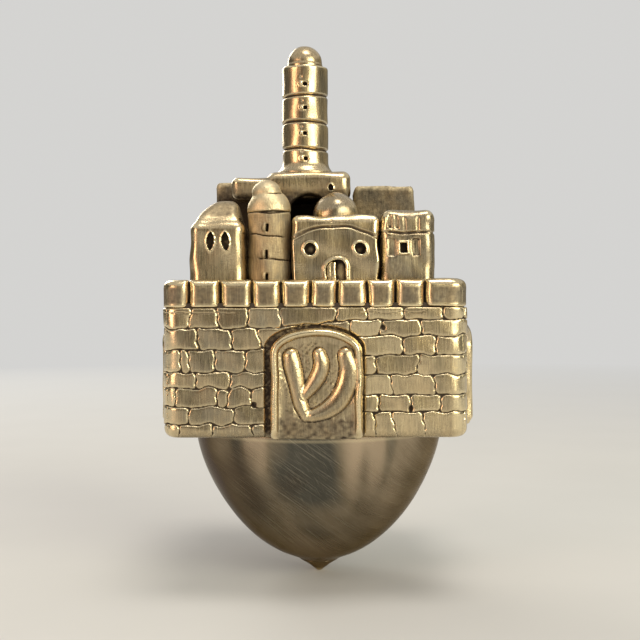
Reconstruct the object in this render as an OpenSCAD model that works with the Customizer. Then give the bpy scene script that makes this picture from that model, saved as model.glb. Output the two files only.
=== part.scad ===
// Dreidel in the form of a walled city: a hollow round bowl below, a square block of stone walls with a
// lettered gate on each side, buildings on a deck inside the walls, and a round tower as the handle.
// Origin at the spin tip, +Z along the spin axis towards the handle, front gate facing -Y.

/* [Bowl] */
// Height from the spin tip to the underside of the walls
bowl_h = 17.8; // [16:0.1:20]
// Distance from the walls' outside in to the bowl's rim
bowl_inset = 1.5; // [1.2:0.1:3]
// Thickness of the bowl's sheet
bowl_t = 1; // [0.6:0.1:1.6]
// Height of the free part of the pointed tip
tip_h = 1.5; // [1:0.1:2.5]
// Radius of the pointed tip where it meets the bowl
tip_r = 2.3; // [1.5:0.1:3]

/* [Block] */
// Outside width of the square block of walls
wall_w = 32; // [30:0.1:36]
// Height of the walls up to the groove under the merlons
wall_h = 14; // [12.5:0.1:16]
// Thickness of the wall plates
wall_t = 1.5; // [1:0.1:2]
// Radius of the upright corners of the block
corner_r = 1.2; // [0.6:0.1:2]
// Radius of the bottom edge of the walls
edge_r = 0.9; // [0.5:0.1:1.2]
// Height of the merlons above the groove
merlon_h = 2.4; // [1.6:0.1:3]
// Gap between two merlons
merlon_gap = 0.3; // [0.2:0.05:0.6]
// Height of the groove under the merlons
groove_h = 0.25; // [0.15:0.05:0.4]
// Width of the mortar joints between the stones
joint_w = 0.16; // [0.1:0.02:0.3]
// Depth of the mortar joints
joint_d = 0.14; // [0.08:0.02:0.3]
// Thickness of the base plate
base_t = 1; // [0.6:0.1:1.5]
// Thickness of the deck
deck_t = 1; // [0.6:0.1:1.5]
// Width of the ledges inside the walls
ledge_w = 0.7; // [0.4:0.1:1.2]
// Height of the ledges inside the walls
ledge_h = 0.8; // [0.4:0.1:1.2]
// Height of the round register that centres the bowl under the base plate
register_h = 0.8; // [0.4:0.1:1.2]

/* [Gates] */
// Width of a gate plaque
gate_w = 9.6; // [8:0.1:11]
// Distance from the gate's crown up to the groove under the merlons
gate_drop = 2.4; // [1.6:0.1:4]
// Rise of the gate's arch over its springing
gate_rise = 2.5; // [1.5:0.1:3.5]
// How far a gate's border stands out of the wall
gate_out = 1.9; // [1:0.1:2.5]
// Width of a gate's raised border
gate_border = 0.8; // [0.5:0.05:1.2]
// Depth of a gate's field under its border
field_d = 0.5; // [0.3:0.05:0.8]
// Depth of the recess in the wall that a gate is set in
recess_d = 0.5; // [0.3:0.05:0.8]
// Open joint around a gate
gate_gap = 0.2; // [0.1:0.05:0.4]
// Open joint along a gate's left side
gate_gap_left = 0.7; // [0.2:0.05:1]
// Width of a letter
letter_w = 7; // [5:0.1:7.4]
// Height of a letter
letter_h = 7.6; // [6:0.1:8]
// Height of a letter over the gate's foot
letter_z = 1.9; // [1.5:0.1:2.4]
// Width of a letter's thin strokes
stroke_thin = 1.4; // [0.8:0.1:1.6]
// Width of a letter's broad strokes
stroke_broad = 1.8; // [1:0.1:2]

/* [Castings] */
// Thickness of the hollow buildings' walls
shell_t = 0.9; // [0.6:0.1:1.1]
// Thickness of the hollow buildings' roofs
roof_t = 1; // [0.6:0.1:1.3]
// Radius of the buildings' upright edges
soft_r = 0.6; // [0.3:0.1:0.9]
// Height of the raised pads that place the buildings
pad_h = 0.6; // [0.4:0.1:1]
// Clearance of pads, spigots and registers in their seats
seat_gap = 0.05; // [0.03:0.01:0.1]
// Solder joint between two castings
solder_gap = 0.03; // [0.02:0.01:0.06]
// Depth of windows, doors and mouldings
carve_d = 0.45; // [0.2:0.05:0.5]
// Width of fine carved grooves
carve_w = 0.22; // [0.15:0.01:0.3]

/* [Front row] */
// Gap between two buildings of a row
row_gap = 0.2; // [0.15:0.05:0.4]
// Distance of a row's fronts from the back of the wall
setback = 0.9; // [0.5:0.1:1.5]
// Free width between a row's end and the walls, before its shift
row_end = 1.32; // [1:0.01:1.6]
// Shift of the front row along the wall
front_shift = -0.45; // [-0.8:0.05:0.8]
// Width of the left house
house_w = 5.9; // [5:0.1:7]
// Depth of the left house
house_d = 6.4; // [5:0.1:6.9]
// Height of the left house's eaves
house_h = 8.8; // [7.5:0.1:9.5]
// Height of the left house's roof
house_roof = 2.5; // [1.5:0.1:3]
// Radius of the round tower
round_r = 2.3; // [1.8:0.1:2.8]
// Height of the round tower's drum
round_h = 9.9; // [8.5:0.1:11]
// Radius of the knob on the round tower's dome
knob_r = 1.55; // [1:0.05:1.8]
// Width of the domed hall
hall_w = 9.3; // [8.5:0.1:10.5]
// Depth of the domed hall
hall_d = 7; // [6.5:0.1:7.4]
// Height of the domed hall
hall_h = 9.4; // [8.5:0.1:10.5]
// Radius of the hall's dome
dome_r = 2.4; // [1.8:0.1:2.7]
// Height of the hall's dome over the hall's roof
dome_h = 2.9; // [2:0.1:3.4]
// Width of the right keep
keep_w = 5.9; // [5:0.1:7]
// Depth of the right keep
keep_d = 6.6; // [5:0.1:7]
// Height of the right keep
keep_h = 9.9; // [9:0.1:11]

/* [Citadel] */
// Width of the citadel's main block
citadel_w = 9.5; // [8.5:0.1:10.5]
// Centre of the citadel's main block along X
citadel_x = -0.9; // [-1.2:0.1:0]
// Height of the citadel's top over the deck
citadel_h = 15.1; // [14:0.1:16]
// Thickness of the citadel's roof slab
slab_t = 2.8; // [2.2:0.1:3.2]
// Width of the citadel's front vault
vault_w = 4.8; // [3.5:0.1:5.4]
// Height of the vault's crown over the deck
vault_h = 12.2; // [10:0.1:13]
// Reach of the citadel's left arm
arm_w = 4; // [3:0.1:4.5]
// Depth of the left arm
arm_d = 4.2; // [3:0.1:4.4]
// Thickness of the left arm
arm_t = 2.7; // [2:0.1:3]
// Drop of the arm's top under the citadel's top
arm_drop = 0.8; // [0.3:0.1:1.5]

/* [Handle tower] */
// Place of the tower's axis along X
tower_x = -1.4; // [-2:0.1:0]
// Radius of the tower's shaft
tower_r = 2.7; // [2.2:0.1:3]
// Height of the tower's shaft over the citadel
tower_h = 12.9; // [11:0.1:15]
// Number of rings that grooves divide the shaft into
tower_rings = 4; // [3:1:5]
// Radius of the tower's foot
foot_r = 3.2; // [2.9:0.1:3.6]
// Height of the tower's foot
foot_h = 0.9; // [0.5:0.1:1.4]
// Radius of the tower's cap
cap_r = 2.1; // [1.6:0.1:2.2]
// Height of the tower's cap
cap_h = 2.6; // [2:0.1:3.2]
// Radius of the spigots under tower, cap and dome
spigot_r = 1.2; // [0.8:0.1:1.4]
// Length of the spigots under tower, cap and dome
spigot_h = 1.6; // [1:0.1:2]

/* [Second row] */
// Gap between the citadel and the houses beside it
side_gap = 0.4; // [0.3:0.1:0.8]
// Width of the side house on the right
right_w = 7.1; // [6:0.1:8]
// Depth of the side house on the right
right_d = 8; // [6:0.1:8.5]
// Height of the side house on the right
right_h = 13.8; // [12:0.1:14.5]
// Width of the side house on the left
left_w = 6; // [5:0.1:6.6]
// Depth of the side house on the left
left_d = 6.4; // [5:0.1:6.6]
// Height of the side house on the left
left_h = 14.4; // [12:0.1:14.6]
// Gap between the side house on the right and the rear row
side_back_gap = 0.9; // [0.4:0.1:1.6]

/* [Rear row] */
// Shift of the rear row along the wall
rear_shift = 0.3; // [-0.8:0.05:0.8]
// Width of the rear keep
rear_keep_w = 5.8; // [5:0.1:7]
// Height of the rear keep
rear_keep_h = 9.6; // [9:0.1:10.5]
// Width of the rear hall
rear_hall_w = 8.6; // [7.5:0.1:10]
// Height of the rear hall
rear_hall_h = 8.9; // [8:0.1:10]
// Radius of the rear round tower
rear_round_r = 2.2; // [1.8:0.1:2.6]
// Height of the rear round tower's drum
rear_round_h = 9.3; // [8.5:0.1:10]
// Width of the rear house
rear_house_w = 6.4; // [5:0.1:7]
// Height of the rear house's eaves
rear_house_h = 8.4; // [7.5:0.1:9]
// Depth of the rear row's buildings
rear_d = 6.4; // [5:0.1:6.8]

/* [Hidden] */
$fn = 64;
over = 0.1;

// Levels
wall_z = bowl_h;
deck_z = wall_z + wall_h;
court_w = wall_w - 2 * wall_t - 2 * solder_gap;
bowl_r = wall_w / 2 - bowl_inset;
gate_h = wall_h - gate_drop;

// The plan of all buildings is fitted to the court, so that the front row fills it
plan_fit = (court_w - 2 * row_end - 3 * row_gap) / (house_w + 2 * round_r + hall_w + keep_w);
function fit(size) = size * plan_fit;

// Rows: the fronts of the front row and the rear row mirror each other across the court
row_y = court_w / 2 - setback;
front_total = fit(house_w) + 2 * fit(round_r) + fit(hall_w) + fit(keep_w) + 3 * row_gap;
house_x = -front_total / 2 + front_shift + fit(house_w) / 2;
round_x = house_x + fit(house_w) / 2 + row_gap + fit(round_r);
hall_x = round_x + fit(round_r) + row_gap + fit(hall_w) / 2;
keep_x = hall_x + fit(hall_w) / 2 + row_gap + fit(keep_w) / 2;
rear_total = fit(rear_keep_w) + fit(rear_hall_w) + 2 * fit(rear_round_r) + fit(rear_house_w) + 3 * row_gap;
rear_keep_x = -rear_total / 2 + rear_shift + fit(rear_keep_w) / 2;
rear_hall_x = rear_keep_x + fit(rear_keep_w) / 2 + row_gap + fit(rear_hall_w) / 2;
rear_round_x = rear_hall_x + fit(rear_hall_w) / 2 + row_gap + fit(rear_round_r);
rear_house_x = rear_round_x + fit(rear_round_r) + row_gap + fit(rear_house_w) / 2;

// The citadel stands in the middle of the court, an aisle behind each row
aisle = 1.1;
citadel_d = 2 * (row_y - fit(hall_d) - aisle);
arm_x = citadel_x - fit(citadel_w) / 2 - fit(arm_w) / 2 + soft_r;
arm_y = -citadel_d / 2 + fit(arm_d) / 2;
side_right_x = citadel_x + fit(citadel_w) / 2 + side_gap + fit(right_w) / 2;
side_left_x = citadel_x - fit(citadel_w) / 2 - side_gap - fit(left_w) / 2;
side_right_y = row_y - fit(rear_d) - side_back_gap - fit(right_d) / 2;
side_left_y = arm_y + fit(arm_d) / 2 + side_gap + fit(left_d) / 2;
tower_z = deck_z + citadel_h;
cap_z = tower_z + tower_h;

// Shares of a wall's width at which the gaps between its merlons stand, left to right
merlon_gap_shares = [0.09, 0.193, 0.297, 0.391, 0.488, 0.575, 0.672, 0.764, 0.862];
// Shares of a wall's height at which its bed joints lie
course_shares = [0.11, 0.26, 0.4, 0.545, 0.68, 0.83];
// Stones in a course, and the share of a stone by which the next course steps
stones = 10;
step_share = 0.43;
// Share of the wall's thickness that its merlons' rounded edges take
merlon_round_share = 0.35;

// Shape of the bowl's outline between a cone, at 1, and an ellipse, at 2
bowl_power = 1.55;
bowl_steps = 24;
corner_steps = 4;
arch_steps = 28;

// Stem and end of the pointed tip
point_stem_r = 0.8;
point_end_r = 0.15;

// Slits and windows, with heights over the deck
slit_w = 0.9;
slit_h = 2.1;
slit_z = 5.75;
slit_step = 1.75;
ring_z = 2.5;
loop_w = 0.5;
loop_h = 1.2;
moulding_r = 9;
moulding_z = 8.2;
eye_r = 0.6;
eye_z = 5.8;
eye_step = 5.3;
hall_door_w = 2.4;
hall_door_h = 4.9;
band_h = 2.4;
pane_w = 1.2;
pane_z = 5.4;

// Distance of a dome's centre from the back of its hall, and height of its drum
hall_dome_back = 2.7;
dome_rim = 0.5;

// Low parapet of the flat-roofed houses
parapet_h = 0.5;

// Grooves and windows of the handle tower
groove_d = 0.22;
port_r = 0.3;

// Letters, as points of their strokes in shares of the letter's width and height
shin_left_shares = [[-0.41, 0.92], [-0.3, 0.45], [-0.19, 0.09]];
shin_mid_shares = [[0.03, 0.92], [0.1, 0.74], [-0.03, 0.53], [-0.26, 0.4]];
shin_right_shares = [[0.39, 0.9], [0.4, 0.62], [0.33, 0.36], [0.15, 0.17], [-0.15, 0.1]];
hei_roof_shares = [[-0.4, 0.87], [0.37, 0.87], [0.37, 0.12]];
hei_leg_shares = [[-0.33, 0.55], [-0.36, 0.1]];
gimel_back_shares = [[-0.14, 0.9], [0.15, 0.83], [0.22, 0.42], [0.33, 0.12]];
gimel_foot_shares = [[0.22, 0.42], [-0.06, 0.28], [-0.29, 0.12]];
nun_shares = [[-0.1, 0.9], [0.18, 0.86], [0.23, 0.5], [0.2, 0.12], [-0.3, 0.1]];

// Outlines

function arc_points(cx, cy, rx, ry, from, to, steps) =
    [for (i = [0:steps]) let (a = from + (to - from) * i / steps) [cx + rx * cos(a), cy + ry * sin(a)]];

// Arched plate standing on y = 0, with small round corners at its foot
function arch_outline(w, h, rise, r) = concat(
    arc_points(-w / 2 + r, r, r, r, 180, 270, corner_steps),
    arc_points(w / 2 - r, r, r, r, 270, 360, corner_steps),
    arc_points(0, h - rise, w / 2, rise, 0, 180, arch_steps)
);

// Radius of the bowl's outline at the share t of its height, from 0 at the bottom to 1 at the rim
function bowl_radius(r, t) = r * sqrt(1 - pow(1 - t, bowl_power));
function bowl_profile(r, z0, h) =
    [for (i = [0:bowl_steps]) let (t = 1 - cos(90 * i / bowl_steps)) [bowl_radius(r, t), z0 + h * t]];

module rounded_rect(w, d, r) {
    square([w - 2 * r, d], center = true);
    square([w, d - 2 * r], center = true);
    for (sx = [-1, 1], sy = [-1, 1])
        translate([sx * (w / 2 - r), sy * (d / 2 - r)])
            circle(r);
}

// A stroke of even width through points given in shares of the letter's size
module stroke(shares, w) {
    points = [for (s = shares) [s[0] * letter_w, s[1] * letter_h]];
    for (i = [0:len(points) - 2]) {
        run = points[i + 1] - points[i];
        translate(points[i])
            rotate(atan2(run[1], run[0]))
                translate([0, -w / 2])
                    square([norm(run), w]);
    }
    for (p = points)
        translate(p)
            circle(d = w);
}

module letter_shin() {
    stroke(shin_left_shares, stroke_thin);
    stroke(shin_mid_shares, stroke_thin);
    stroke(shin_right_shares, stroke_broad);
}

module letter_hei() {
    stroke(hei_roof_shares, stroke_broad);
    stroke(hei_leg_shares, stroke_thin);
}

module letter_gimel() {
    stroke(gimel_back_shares, stroke_broad);
    stroke(gimel_foot_shares, stroke_thin);
}

module letter_nun() {
    stroke(nun_shares, stroke_broad);
}

// Bowl and base

module bowl() {
    color([0.66, 0.6, 0.5])
        difference() {
            rotate_extrude()
                polygon(concat(
                    bowl_profile(bowl_r, tip_h, wall_z - tip_h - solder_gap),
                    [[0, wall_z - solder_gap]]));
            rotate_extrude()
                polygon(concat(
                    bowl_profile(bowl_r - bowl_t, tip_h + bowl_t, wall_z - tip_h - bowl_t),
                    [[bowl_r - bowl_t, wall_z + over], [0, wall_z + over]]));
            cylinder(h = bowl_h / 2, r = point_stem_r + seat_gap);
        }
}

module spin_point() {
    color([0.66, 0.6, 0.5])
        difference() {
            union() {
                cylinder(h = tip_h + solder_gap, r1 = point_end_r, r2 = tip_r);
                translate([0, 0, tip_h])
                    cylinder(h = 2 * bowl_t, r = point_stem_r);
                translate([0, 0, tip_h])
                    cylinder(h = bowl_t / 2, r = tip_r);
            }
            translate([0, 0, -solder_gap])
                difference() {
                    rotate_extrude()
                        polygon(concat(bowl_profile(bowl_r, tip_h, wall_z - tip_h), [[0, wall_z]]));
                    cylinder(h = bowl_h, r = point_stem_r + over);
                }
        }
}

module base_plate() {
    inner_h = wall_z - tip_h - bowl_t;
    register_r = bowl_radius(bowl_r - bowl_t, 1 - register_h / inner_h) - seat_gap;
    color([0.6, 0.54, 0.43]) {
        translate([0, 0, wall_z])
            linear_extrude(base_t)
                square(court_w, center = true);
        translate([0, 0, wall_z - register_h])
            difference() {
                cylinder(h = register_h, r = register_r);
                translate([0, 0, -over])
                    cylinder(h = register_h + over, r = register_r - bowl_t);
            }
    }
}

// Walls

module wall_section() {
    // Section through the front wall, y across and z up, z = 0 at the wall's foot
    outer = -wall_w / 2;
    inner = outer + wall_t;
    merlon_r = wall_t * merlon_round_share;
    translate([outer + edge_r, edge_r])
        circle(edge_r);
    translate([outer + edge_r, 0])
        square([wall_t - edge_r, edge_r]);
    translate([outer, edge_r])
        square([wall_t, wall_h - edge_r]);
    translate([outer + 2 * joint_w, wall_h - over])
        square([wall_t - 2 * joint_w, groove_h + merlon_r]);
    translate([outer + wall_t / 2, wall_h + groove_h + merlon_h / 2 - groove_h / 2])
        rounded_rect(wall_t, merlon_h - groove_h, merlon_r);
    translate([inner - over, base_t + solder_gap])
        square([ledge_w + over, ledge_h]);
    translate([inner - over, wall_h - deck_t - solder_gap - ledge_h])
        square([ledge_w + over, ledge_h]);
}

module mortar_joints() {
    // Bed and upright joints of one wall, x along the wall and y up
    pitch = wall_w / stones;
    rows = concat([0], course_shares, [1]);
    for (s = course_shares)
        translate([-wall_w / 2, s * wall_h - joint_w / 2])
            square([wall_w, joint_w]);
    for (row = [0:len(rows) - 2], i = [0:stones])
        translate([
            -wall_w / 2 + pitch * (i + (row * step_share) % 1) - joint_w / 2,
            rows[row] * wall_h
        ])
            square([joint_w, (rows[row + 1] - rows[row]) * wall_h]);
}

module gate_recess() {
    w = gate_w + gate_gap + gate_gap_left;
    translate([(gate_gap - gate_gap_left) / 2, -over])
        polygon(arch_outline(w, gate_h + gate_gap + over, gate_rise, edge_r));
}

module wall(side) {
    color([0.68, 0.6, 0.46])
        rotate(90 * side)
            difference() {
                intersection() {
                    translate([-wall_w / 2, 0, wall_z])
                        rotate([90, 0, 90])
                            linear_extrude(wall_w)
                                wall_section();
                    translate([0, 0, wall_z - over])
                        linear_extrude(wall_h + merlon_h + 2 * over)
                            intersection() {
                                rounded_rect(wall_w, wall_w, corner_r);
                                translate([0, -solder_gap])
                                    polygon([[0, 0], [-wall_w, -wall_w], [wall_w, -wall_w]]);
                            }
                }
                for (s = merlon_gap_shares)
                    translate([(s - 1 / 2) * wall_w - merlon_gap / 2, -wall_w / 2 - over, deck_z + groove_h])
                        cube([merlon_gap, wall_t + 2 * over, merlon_h]);
                translate([0, -wall_w / 2 + joint_d, wall_z])
                    rotate([90, 0, 0])
                        linear_extrude(joint_d + over)
                            mortar_joints();
                translate([0, -wall_w / 2 + recess_d, wall_z])
                    rotate([90, 0, 0])
                        linear_extrude(recess_d + over)
                            gate_recess();
            }
}

// A gate plaque on the wall of the given side; its letter is the child
module gate(side) {
    depth = recess_d - solder_gap + gate_out;
    color([0.72, 0.64, 0.5])
        rotate(90 * side)
            translate([0, -wall_w / 2 + recess_d - solder_gap, wall_z])
                rotate([90, 0, 0]) {
                    difference() {
                        linear_extrude(depth)
                            polygon(arch_outline(gate_w, gate_h, gate_rise, gate_border));
                        translate([0, gate_border, depth - field_d])
                            linear_extrude(field_d + over)
                                polygon(arch_outline(
                                    gate_w - 2 * gate_border,
                                    gate_h - 2 * gate_border,
                                    gate_rise - gate_border / 2,
                                    gate_border / 2));
                    }
                    translate([0, letter_z, depth - field_d - over])
                        linear_extrude(field_d + over)
                            children();
                }
}

// Deck and building blocks

// Raised pad that fits inside a hollow building of the given size
module pad(x, y, w, d) {
    translate([x, y, deck_z])
        linear_extrude(pad_h)
            square([w - 2 * (shell_t + seat_gap), d - 2 * (shell_t + seat_gap)], center = true);
}

module round_pad(x, y, r) {
    translate([x, y, deck_z])
        cylinder(h = pad_h, r = r - shell_t - seat_gap);
}

// Hollow block open below, with its front on -Y
module block(w, d, h, roof) {
    difference() {
        linear_extrude(h)
            rounded_rect(w, d, soft_r);
        translate([0, 0, -over])
            linear_extrude(h - roof + over)
                square([w - 2 * shell_t, d - 2 * shell_t], center = true);
    }
}

// Cuts the child, drawn with x along the front and y up, into a front that stands at y
module carve(y) {
    translate([0, y + carve_d, 0])
        rotate([90, 0, 0])
            linear_extrude(carve_d + over)
                children();
}

module slit(w, h) {
    translate([-w / 2, 0])
        square([w, h - w / 2]);
    translate([0, h - w / 2])
        circle(d = w);
}

module house(w, d, h, roof_h) {
    difference() {
        union() {
            block(w, d, h, roof_t);
            intersection() {
                translate([0, 0, h])
                    rotate([90, 0, 0])
                        translate([0, 0, -d / 2])
                            linear_extrude(d)
                                polygon([[-w / 2, 0], [w / 2, 0], [w / 4, roof_h], [-w / 4, roof_h]]);
                translate([-w / 2, 0, h])
                    rotate([90, 0, 90])
                        linear_extrude(w)
                            polygon([[-d / 2, 0], [d / 2, 0], [d / 3, roof_h], [-d / 4, roof_h]]);
                linear_extrude(h + roof_h)
                    rounded_rect(w, d, soft_r);
            }
        }
        for (s = [-1, 1])
            translate([s * slit_step / 2, 0, slit_z])
                carve(-d / 2)
                    slit(slit_w, slit_h);
    }
}

// Round tower with ring grooves, slits, a low dome and a knob on it
module minaret(r, h) {
    difference() {
        union() {
            cylinder(h = h, r = r);
            translate([0, 0, h])
                sphere(r);
            translate([0, 0, h + r])
                sphere(knob_r);
        }
        translate([0, 0, -over])
            cylinder(h = h - roof_t + over, r = r - shell_t);
        for (z = [h - 2 * ring_z, h - ring_z, h - carve_w])
            translate([0, 0, z])
                difference() {
                    cylinder(h = carve_w, r = r + over);
                    translate([0, 0, -over])
                        cylinder(h = carve_w + 2 * over, r = r - carve_w);
                }
        for (i = [1, 2])
            translate([0, 0, h - i * ring_z + carve_w + loop_h / 4])
                carve(-r)
                    slit(loop_w, loop_h);
    }
}

// Hall with an arched moulding, two round windows and a door
module hall(w, d, h) {
    difference() {
        block(w, d, h, roof_t);
        intersection() {
            translate([0, -d / 2 + carve_w, moulding_z - moulding_r])
                rotate([90, 0, 0])
                    difference() {
                        cylinder(h = carve_w + over, r = moulding_r + carve_w / 2);
                        translate([0, 0, -over])
                            cylinder(h = carve_w + 3 * over, r = moulding_r - carve_w / 2);
                    }
            translate([0, -d / 2, moulding_z])
                cube([w, 2 * carve_d, 2 * (h - moulding_z + carve_w)], center = true);
        }
        for (s = [-1, 1])
            translate([s * eye_step / 2, 0, eye_z])
                carve(-d / 2)
                    circle(eye_r);
        carve(-d / 2)
            slit(hall_door_w, hall_door_h);
        translate([0, d / 2 - hall_dome_back, h - roof_t - over])
            cylinder(h = roof_t + 2 * over, r = spigot_r + seat_gap);
    }
}

// Low dome on a short drum, with a spigot that passes through the hall's roof
module dome(x, y, z, h) {
    drum = max(dome_rim, h - dome_r);
    translate([x, y, z + solder_gap]) {
        cylinder(h = drum, r = dome_r);
        intersection() {
            translate([0, 0, drum])
                sphere(dome_r);
            cylinder(h = h, r = dome_r);
        }
        translate([0, 0, -roof_t])
            cylinder(h = roof_t, r = spigot_r);
    }
}

// Keep with an upper band of upright grooves and a square window
module keep(w, d, h) {
    difference() {
        block(w, d, h, roof_t);
        translate([-w / 2 - over, -d / 2 - over, h - band_h])
            cube([w + 2 * over, carve_w + over, carve_w]);
        for (i = [1:3])
            translate([-w / 2 + i * w / 4, -d / 2 - over, h - band_h])
                cube([carve_w, carve_w + over, band_h + over]);
        translate([-pane_w / 2, 0, pane_z])
            carve(-d / 2)
                square([pane_w, pane_w]);
    }
}

// Plain flat-roofed house with a sunk roof behind a low parapet
module flat_house(w, d, h) {
    difference() {
        block(w, d, h, roof_t + parapet_h);
        translate([0, 0, h - parapet_h])
            linear_extrude(parapet_h + over)
                rounded_rect(w - shell_t, d - shell_t, soft_r / 2);
        translate([0, 0, h / 2])
            carve(-d / 2)
                slit(slit_w, slit_h);
    }
}

module deck() {
    color([0.52, 0.46, 0.35]) {
        translate([0, 0, deck_z - deck_t])
            linear_extrude(deck_t)
                square(court_w, center = true);
        pad(house_x, -row_y + fit(house_d) / 2, fit(house_w), fit(house_d));
        round_pad(round_x, -row_y + fit(round_r), fit(round_r));
        pad(hall_x, -row_y + fit(hall_d) / 2, fit(hall_w), fit(hall_d));
        pad(keep_x, -row_y + fit(keep_d) / 2, fit(keep_w), fit(keep_d));
        pad(citadel_x, 0, fit(citadel_w), citadel_d);
        pad(side_right_x, side_right_y, fit(right_w), fit(right_d));
        pad(side_left_x, side_left_y, fit(left_w), fit(left_d));
        rotate(180) {
            pad(rear_keep_x, -row_y + fit(rear_d) / 2, fit(rear_keep_w), fit(rear_d));
            pad(rear_hall_x, -row_y + fit(rear_d) / 2, fit(rear_hall_w), fit(rear_d));
            round_pad(rear_round_x, -row_y + fit(rear_round_r), fit(rear_round_r));
            pad(rear_house_x, -row_y + fit(rear_d) / 2, fit(rear_house_w), fit(rear_d));
        }
    }
}

// Front row

module left_house() {
    color([0.72, 0.64, 0.48])
        translate([house_x, -row_y + fit(house_d) / 2, deck_z + solder_gap])
            house(fit(house_w), fit(house_d), house_h, house_roof);
}

module round_tower() {
    color([0.68, 0.6, 0.44])
        translate([round_x, -row_y + fit(round_r), deck_z + solder_gap])
            minaret(fit(round_r), round_h);
}

module domed_hall() {
    color([0.7, 0.62, 0.46])
        translate([hall_x, -row_y + fit(hall_d) / 2, deck_z + solder_gap])
            hall(fit(hall_w), fit(hall_d), hall_h);
}

module hall_dome() {
    color([0.74, 0.66, 0.5])
        dome(hall_x, -row_y + fit(hall_d) - hall_dome_back, deck_z + solder_gap + hall_h, dome_h);
}

module right_keep() {
    color([0.68, 0.6, 0.45])
        translate([keep_x, -row_y + fit(keep_d) / 2, deck_z + solder_gap])
            keep(fit(keep_w), fit(keep_d), keep_h);
}

// Citadel and handle tower

module citadel() {
    citadel_z = deck_z + solder_gap;
    color([0.7, 0.62, 0.47])
        difference() {
            union() {
                translate([citadel_x, 0, citadel_z])
                    block(fit(citadel_w), citadel_d, citadel_h - solder_gap, slab_t);
                translate([arm_x, arm_y, tower_z - arm_drop - arm_t])
                    linear_extrude(arm_t)
                        rounded_rect(fit(arm_w) + 2 * soft_r, fit(arm_d), soft_r);
            }
            translate([citadel_x, -citadel_d / 2 + shell_t + over, citadel_z - over])
                rotate([90, 0, 0])
                    linear_extrude(shell_t + 2 * over)
                        slit(vault_w, vault_h);
            translate([tower_x, 0, tower_z - spigot_h - seat_gap])
                cylinder(h = spigot_h + over + seat_gap, r = spigot_r + seat_gap);
        }
}

module tower_shaft() {
    ring_h = (tower_h - foot_h) / tower_rings;
    color([0.76, 0.68, 0.52])
        translate([tower_x, 0, tower_z + solder_gap])
            difference() {
                union() {
                    cylinder(h = tower_h - solder_gap, r = tower_r);
                    cylinder(h = foot_h, r1 = foot_r, r2 = tower_r);
                    translate([0, 0, -spigot_h])
                        cylinder(h = spigot_h, r = spigot_r);
                }
                for (i = [1:tower_rings - 1])
                    translate([0, 0, foot_h + i * ring_h - groove_h / 2])
                        difference() {
                            cylinder(h = groove_h, r = tower_r + over);
                            translate([0, 0, -over])
                                cylinder(h = groove_h + 2 * over, r = tower_r - groove_d);
                        }
                for (i = [0:tower_rings - 1])
                    translate([0, 0, foot_h + (i + 1 / 3) * ring_h])
                        carve(-tower_r)
                            circle(port_r);
                translate([0, 0, tower_h - spigot_h - seat_gap])
                    cylinder(h = spigot_h + seat_gap + over, r = spigot_r + seat_gap);
            }
}

module tower_cap() {
    color([0.76, 0.68, 0.52])
        translate([tower_x, 0, cap_z + solder_gap]) {
            cylinder(h = cap_h - cap_r, r = cap_r);
            intersection() {
                translate([0, 0, cap_h - cap_r - solder_gap])
                    sphere(cap_r);
                cylinder(h = cap_h, r = cap_r);
            }
            translate([0, 0, -spigot_h])
                cylinder(h = spigot_h, r = spigot_r);
        }
}

// Second row

module side_house_right() {
    color([0.64, 0.57, 0.44])
        translate([side_right_x, side_right_y, deck_z + solder_gap])
            flat_house(fit(right_w), fit(right_d), right_h);
}

module side_house_left() {
    color([0.62, 0.55, 0.42])
        translate([side_left_x, side_left_y, deck_z + solder_gap])
            flat_house(fit(left_w), fit(left_d), left_h);
}

// Rear row, turned half round so that it faces the back wall

module rear_keep() {
    color([0.68, 0.6, 0.45])
        rotate(180)
            translate([rear_keep_x, -row_y + fit(rear_d) / 2, deck_z + solder_gap])
                keep(fit(rear_keep_w), fit(rear_d), rear_keep_h);
}

module rear_hall() {
    color([0.7, 0.62, 0.46])
        rotate(180)
            translate([rear_hall_x, -row_y + fit(rear_d) / 2, deck_z + solder_gap])
                hall(fit(rear_hall_w), fit(rear_d), rear_hall_h);
}

module rear_dome() {
    color([0.74, 0.66, 0.5])
        rotate(180)
            dome(
                rear_hall_x, -row_y + fit(rear_d) - hall_dome_back,
                deck_z + solder_gap + rear_hall_h, dome_h);
}

module rear_round_tower() {
    color([0.68, 0.6, 0.44])
        rotate(180)
            translate([rear_round_x, -row_y + fit(rear_round_r), deck_z + solder_gap])
                minaret(fit(rear_round_r), rear_round_h);
}

module rear_house() {
    color([0.72, 0.64, 0.48])
        rotate(180)
            translate([rear_house_x, -row_y + fit(rear_d) / 2, deck_z + solder_gap])
                house(fit(rear_house_w), fit(rear_d), rear_house_h, house_roof);
}

bowl();
spin_point();
base_plate();
wall(0);  // wall_front
wall(1);  // wall_right
wall(2);  // wall_back
wall(3);  // wall_left
gate(0) letter_shin();  // gate_shin
gate(1) letter_hei();  // gate_hei
gate(2) letter_gimel();  // gate_gimel
gate(3) letter_nun();  // gate_nun
deck();
left_house();
round_tower();
domed_hall();
hall_dome();
right_keep();
citadel();
tower_shaft();
tower_cap();
side_house_right();
side_house_left();
rear_keep();
rear_hall();
rear_dome();
rear_round_tower();
rear_house();
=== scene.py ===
"""Looks of the walled-city dreidel: cast silver walls, gates and houses, a satin bowl and the handle tower.

Shapes are worked out in millimetres, in the part's own frame. Castings are signed distance fields, meshed
with surface nets. The walls are fine sheets that a stone pattern displaces. Bowl and tip are turned.
"""

import math
from functools import cached_property

import bpy
import numpy as np
from mathutils import Matrix, Vector


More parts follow.
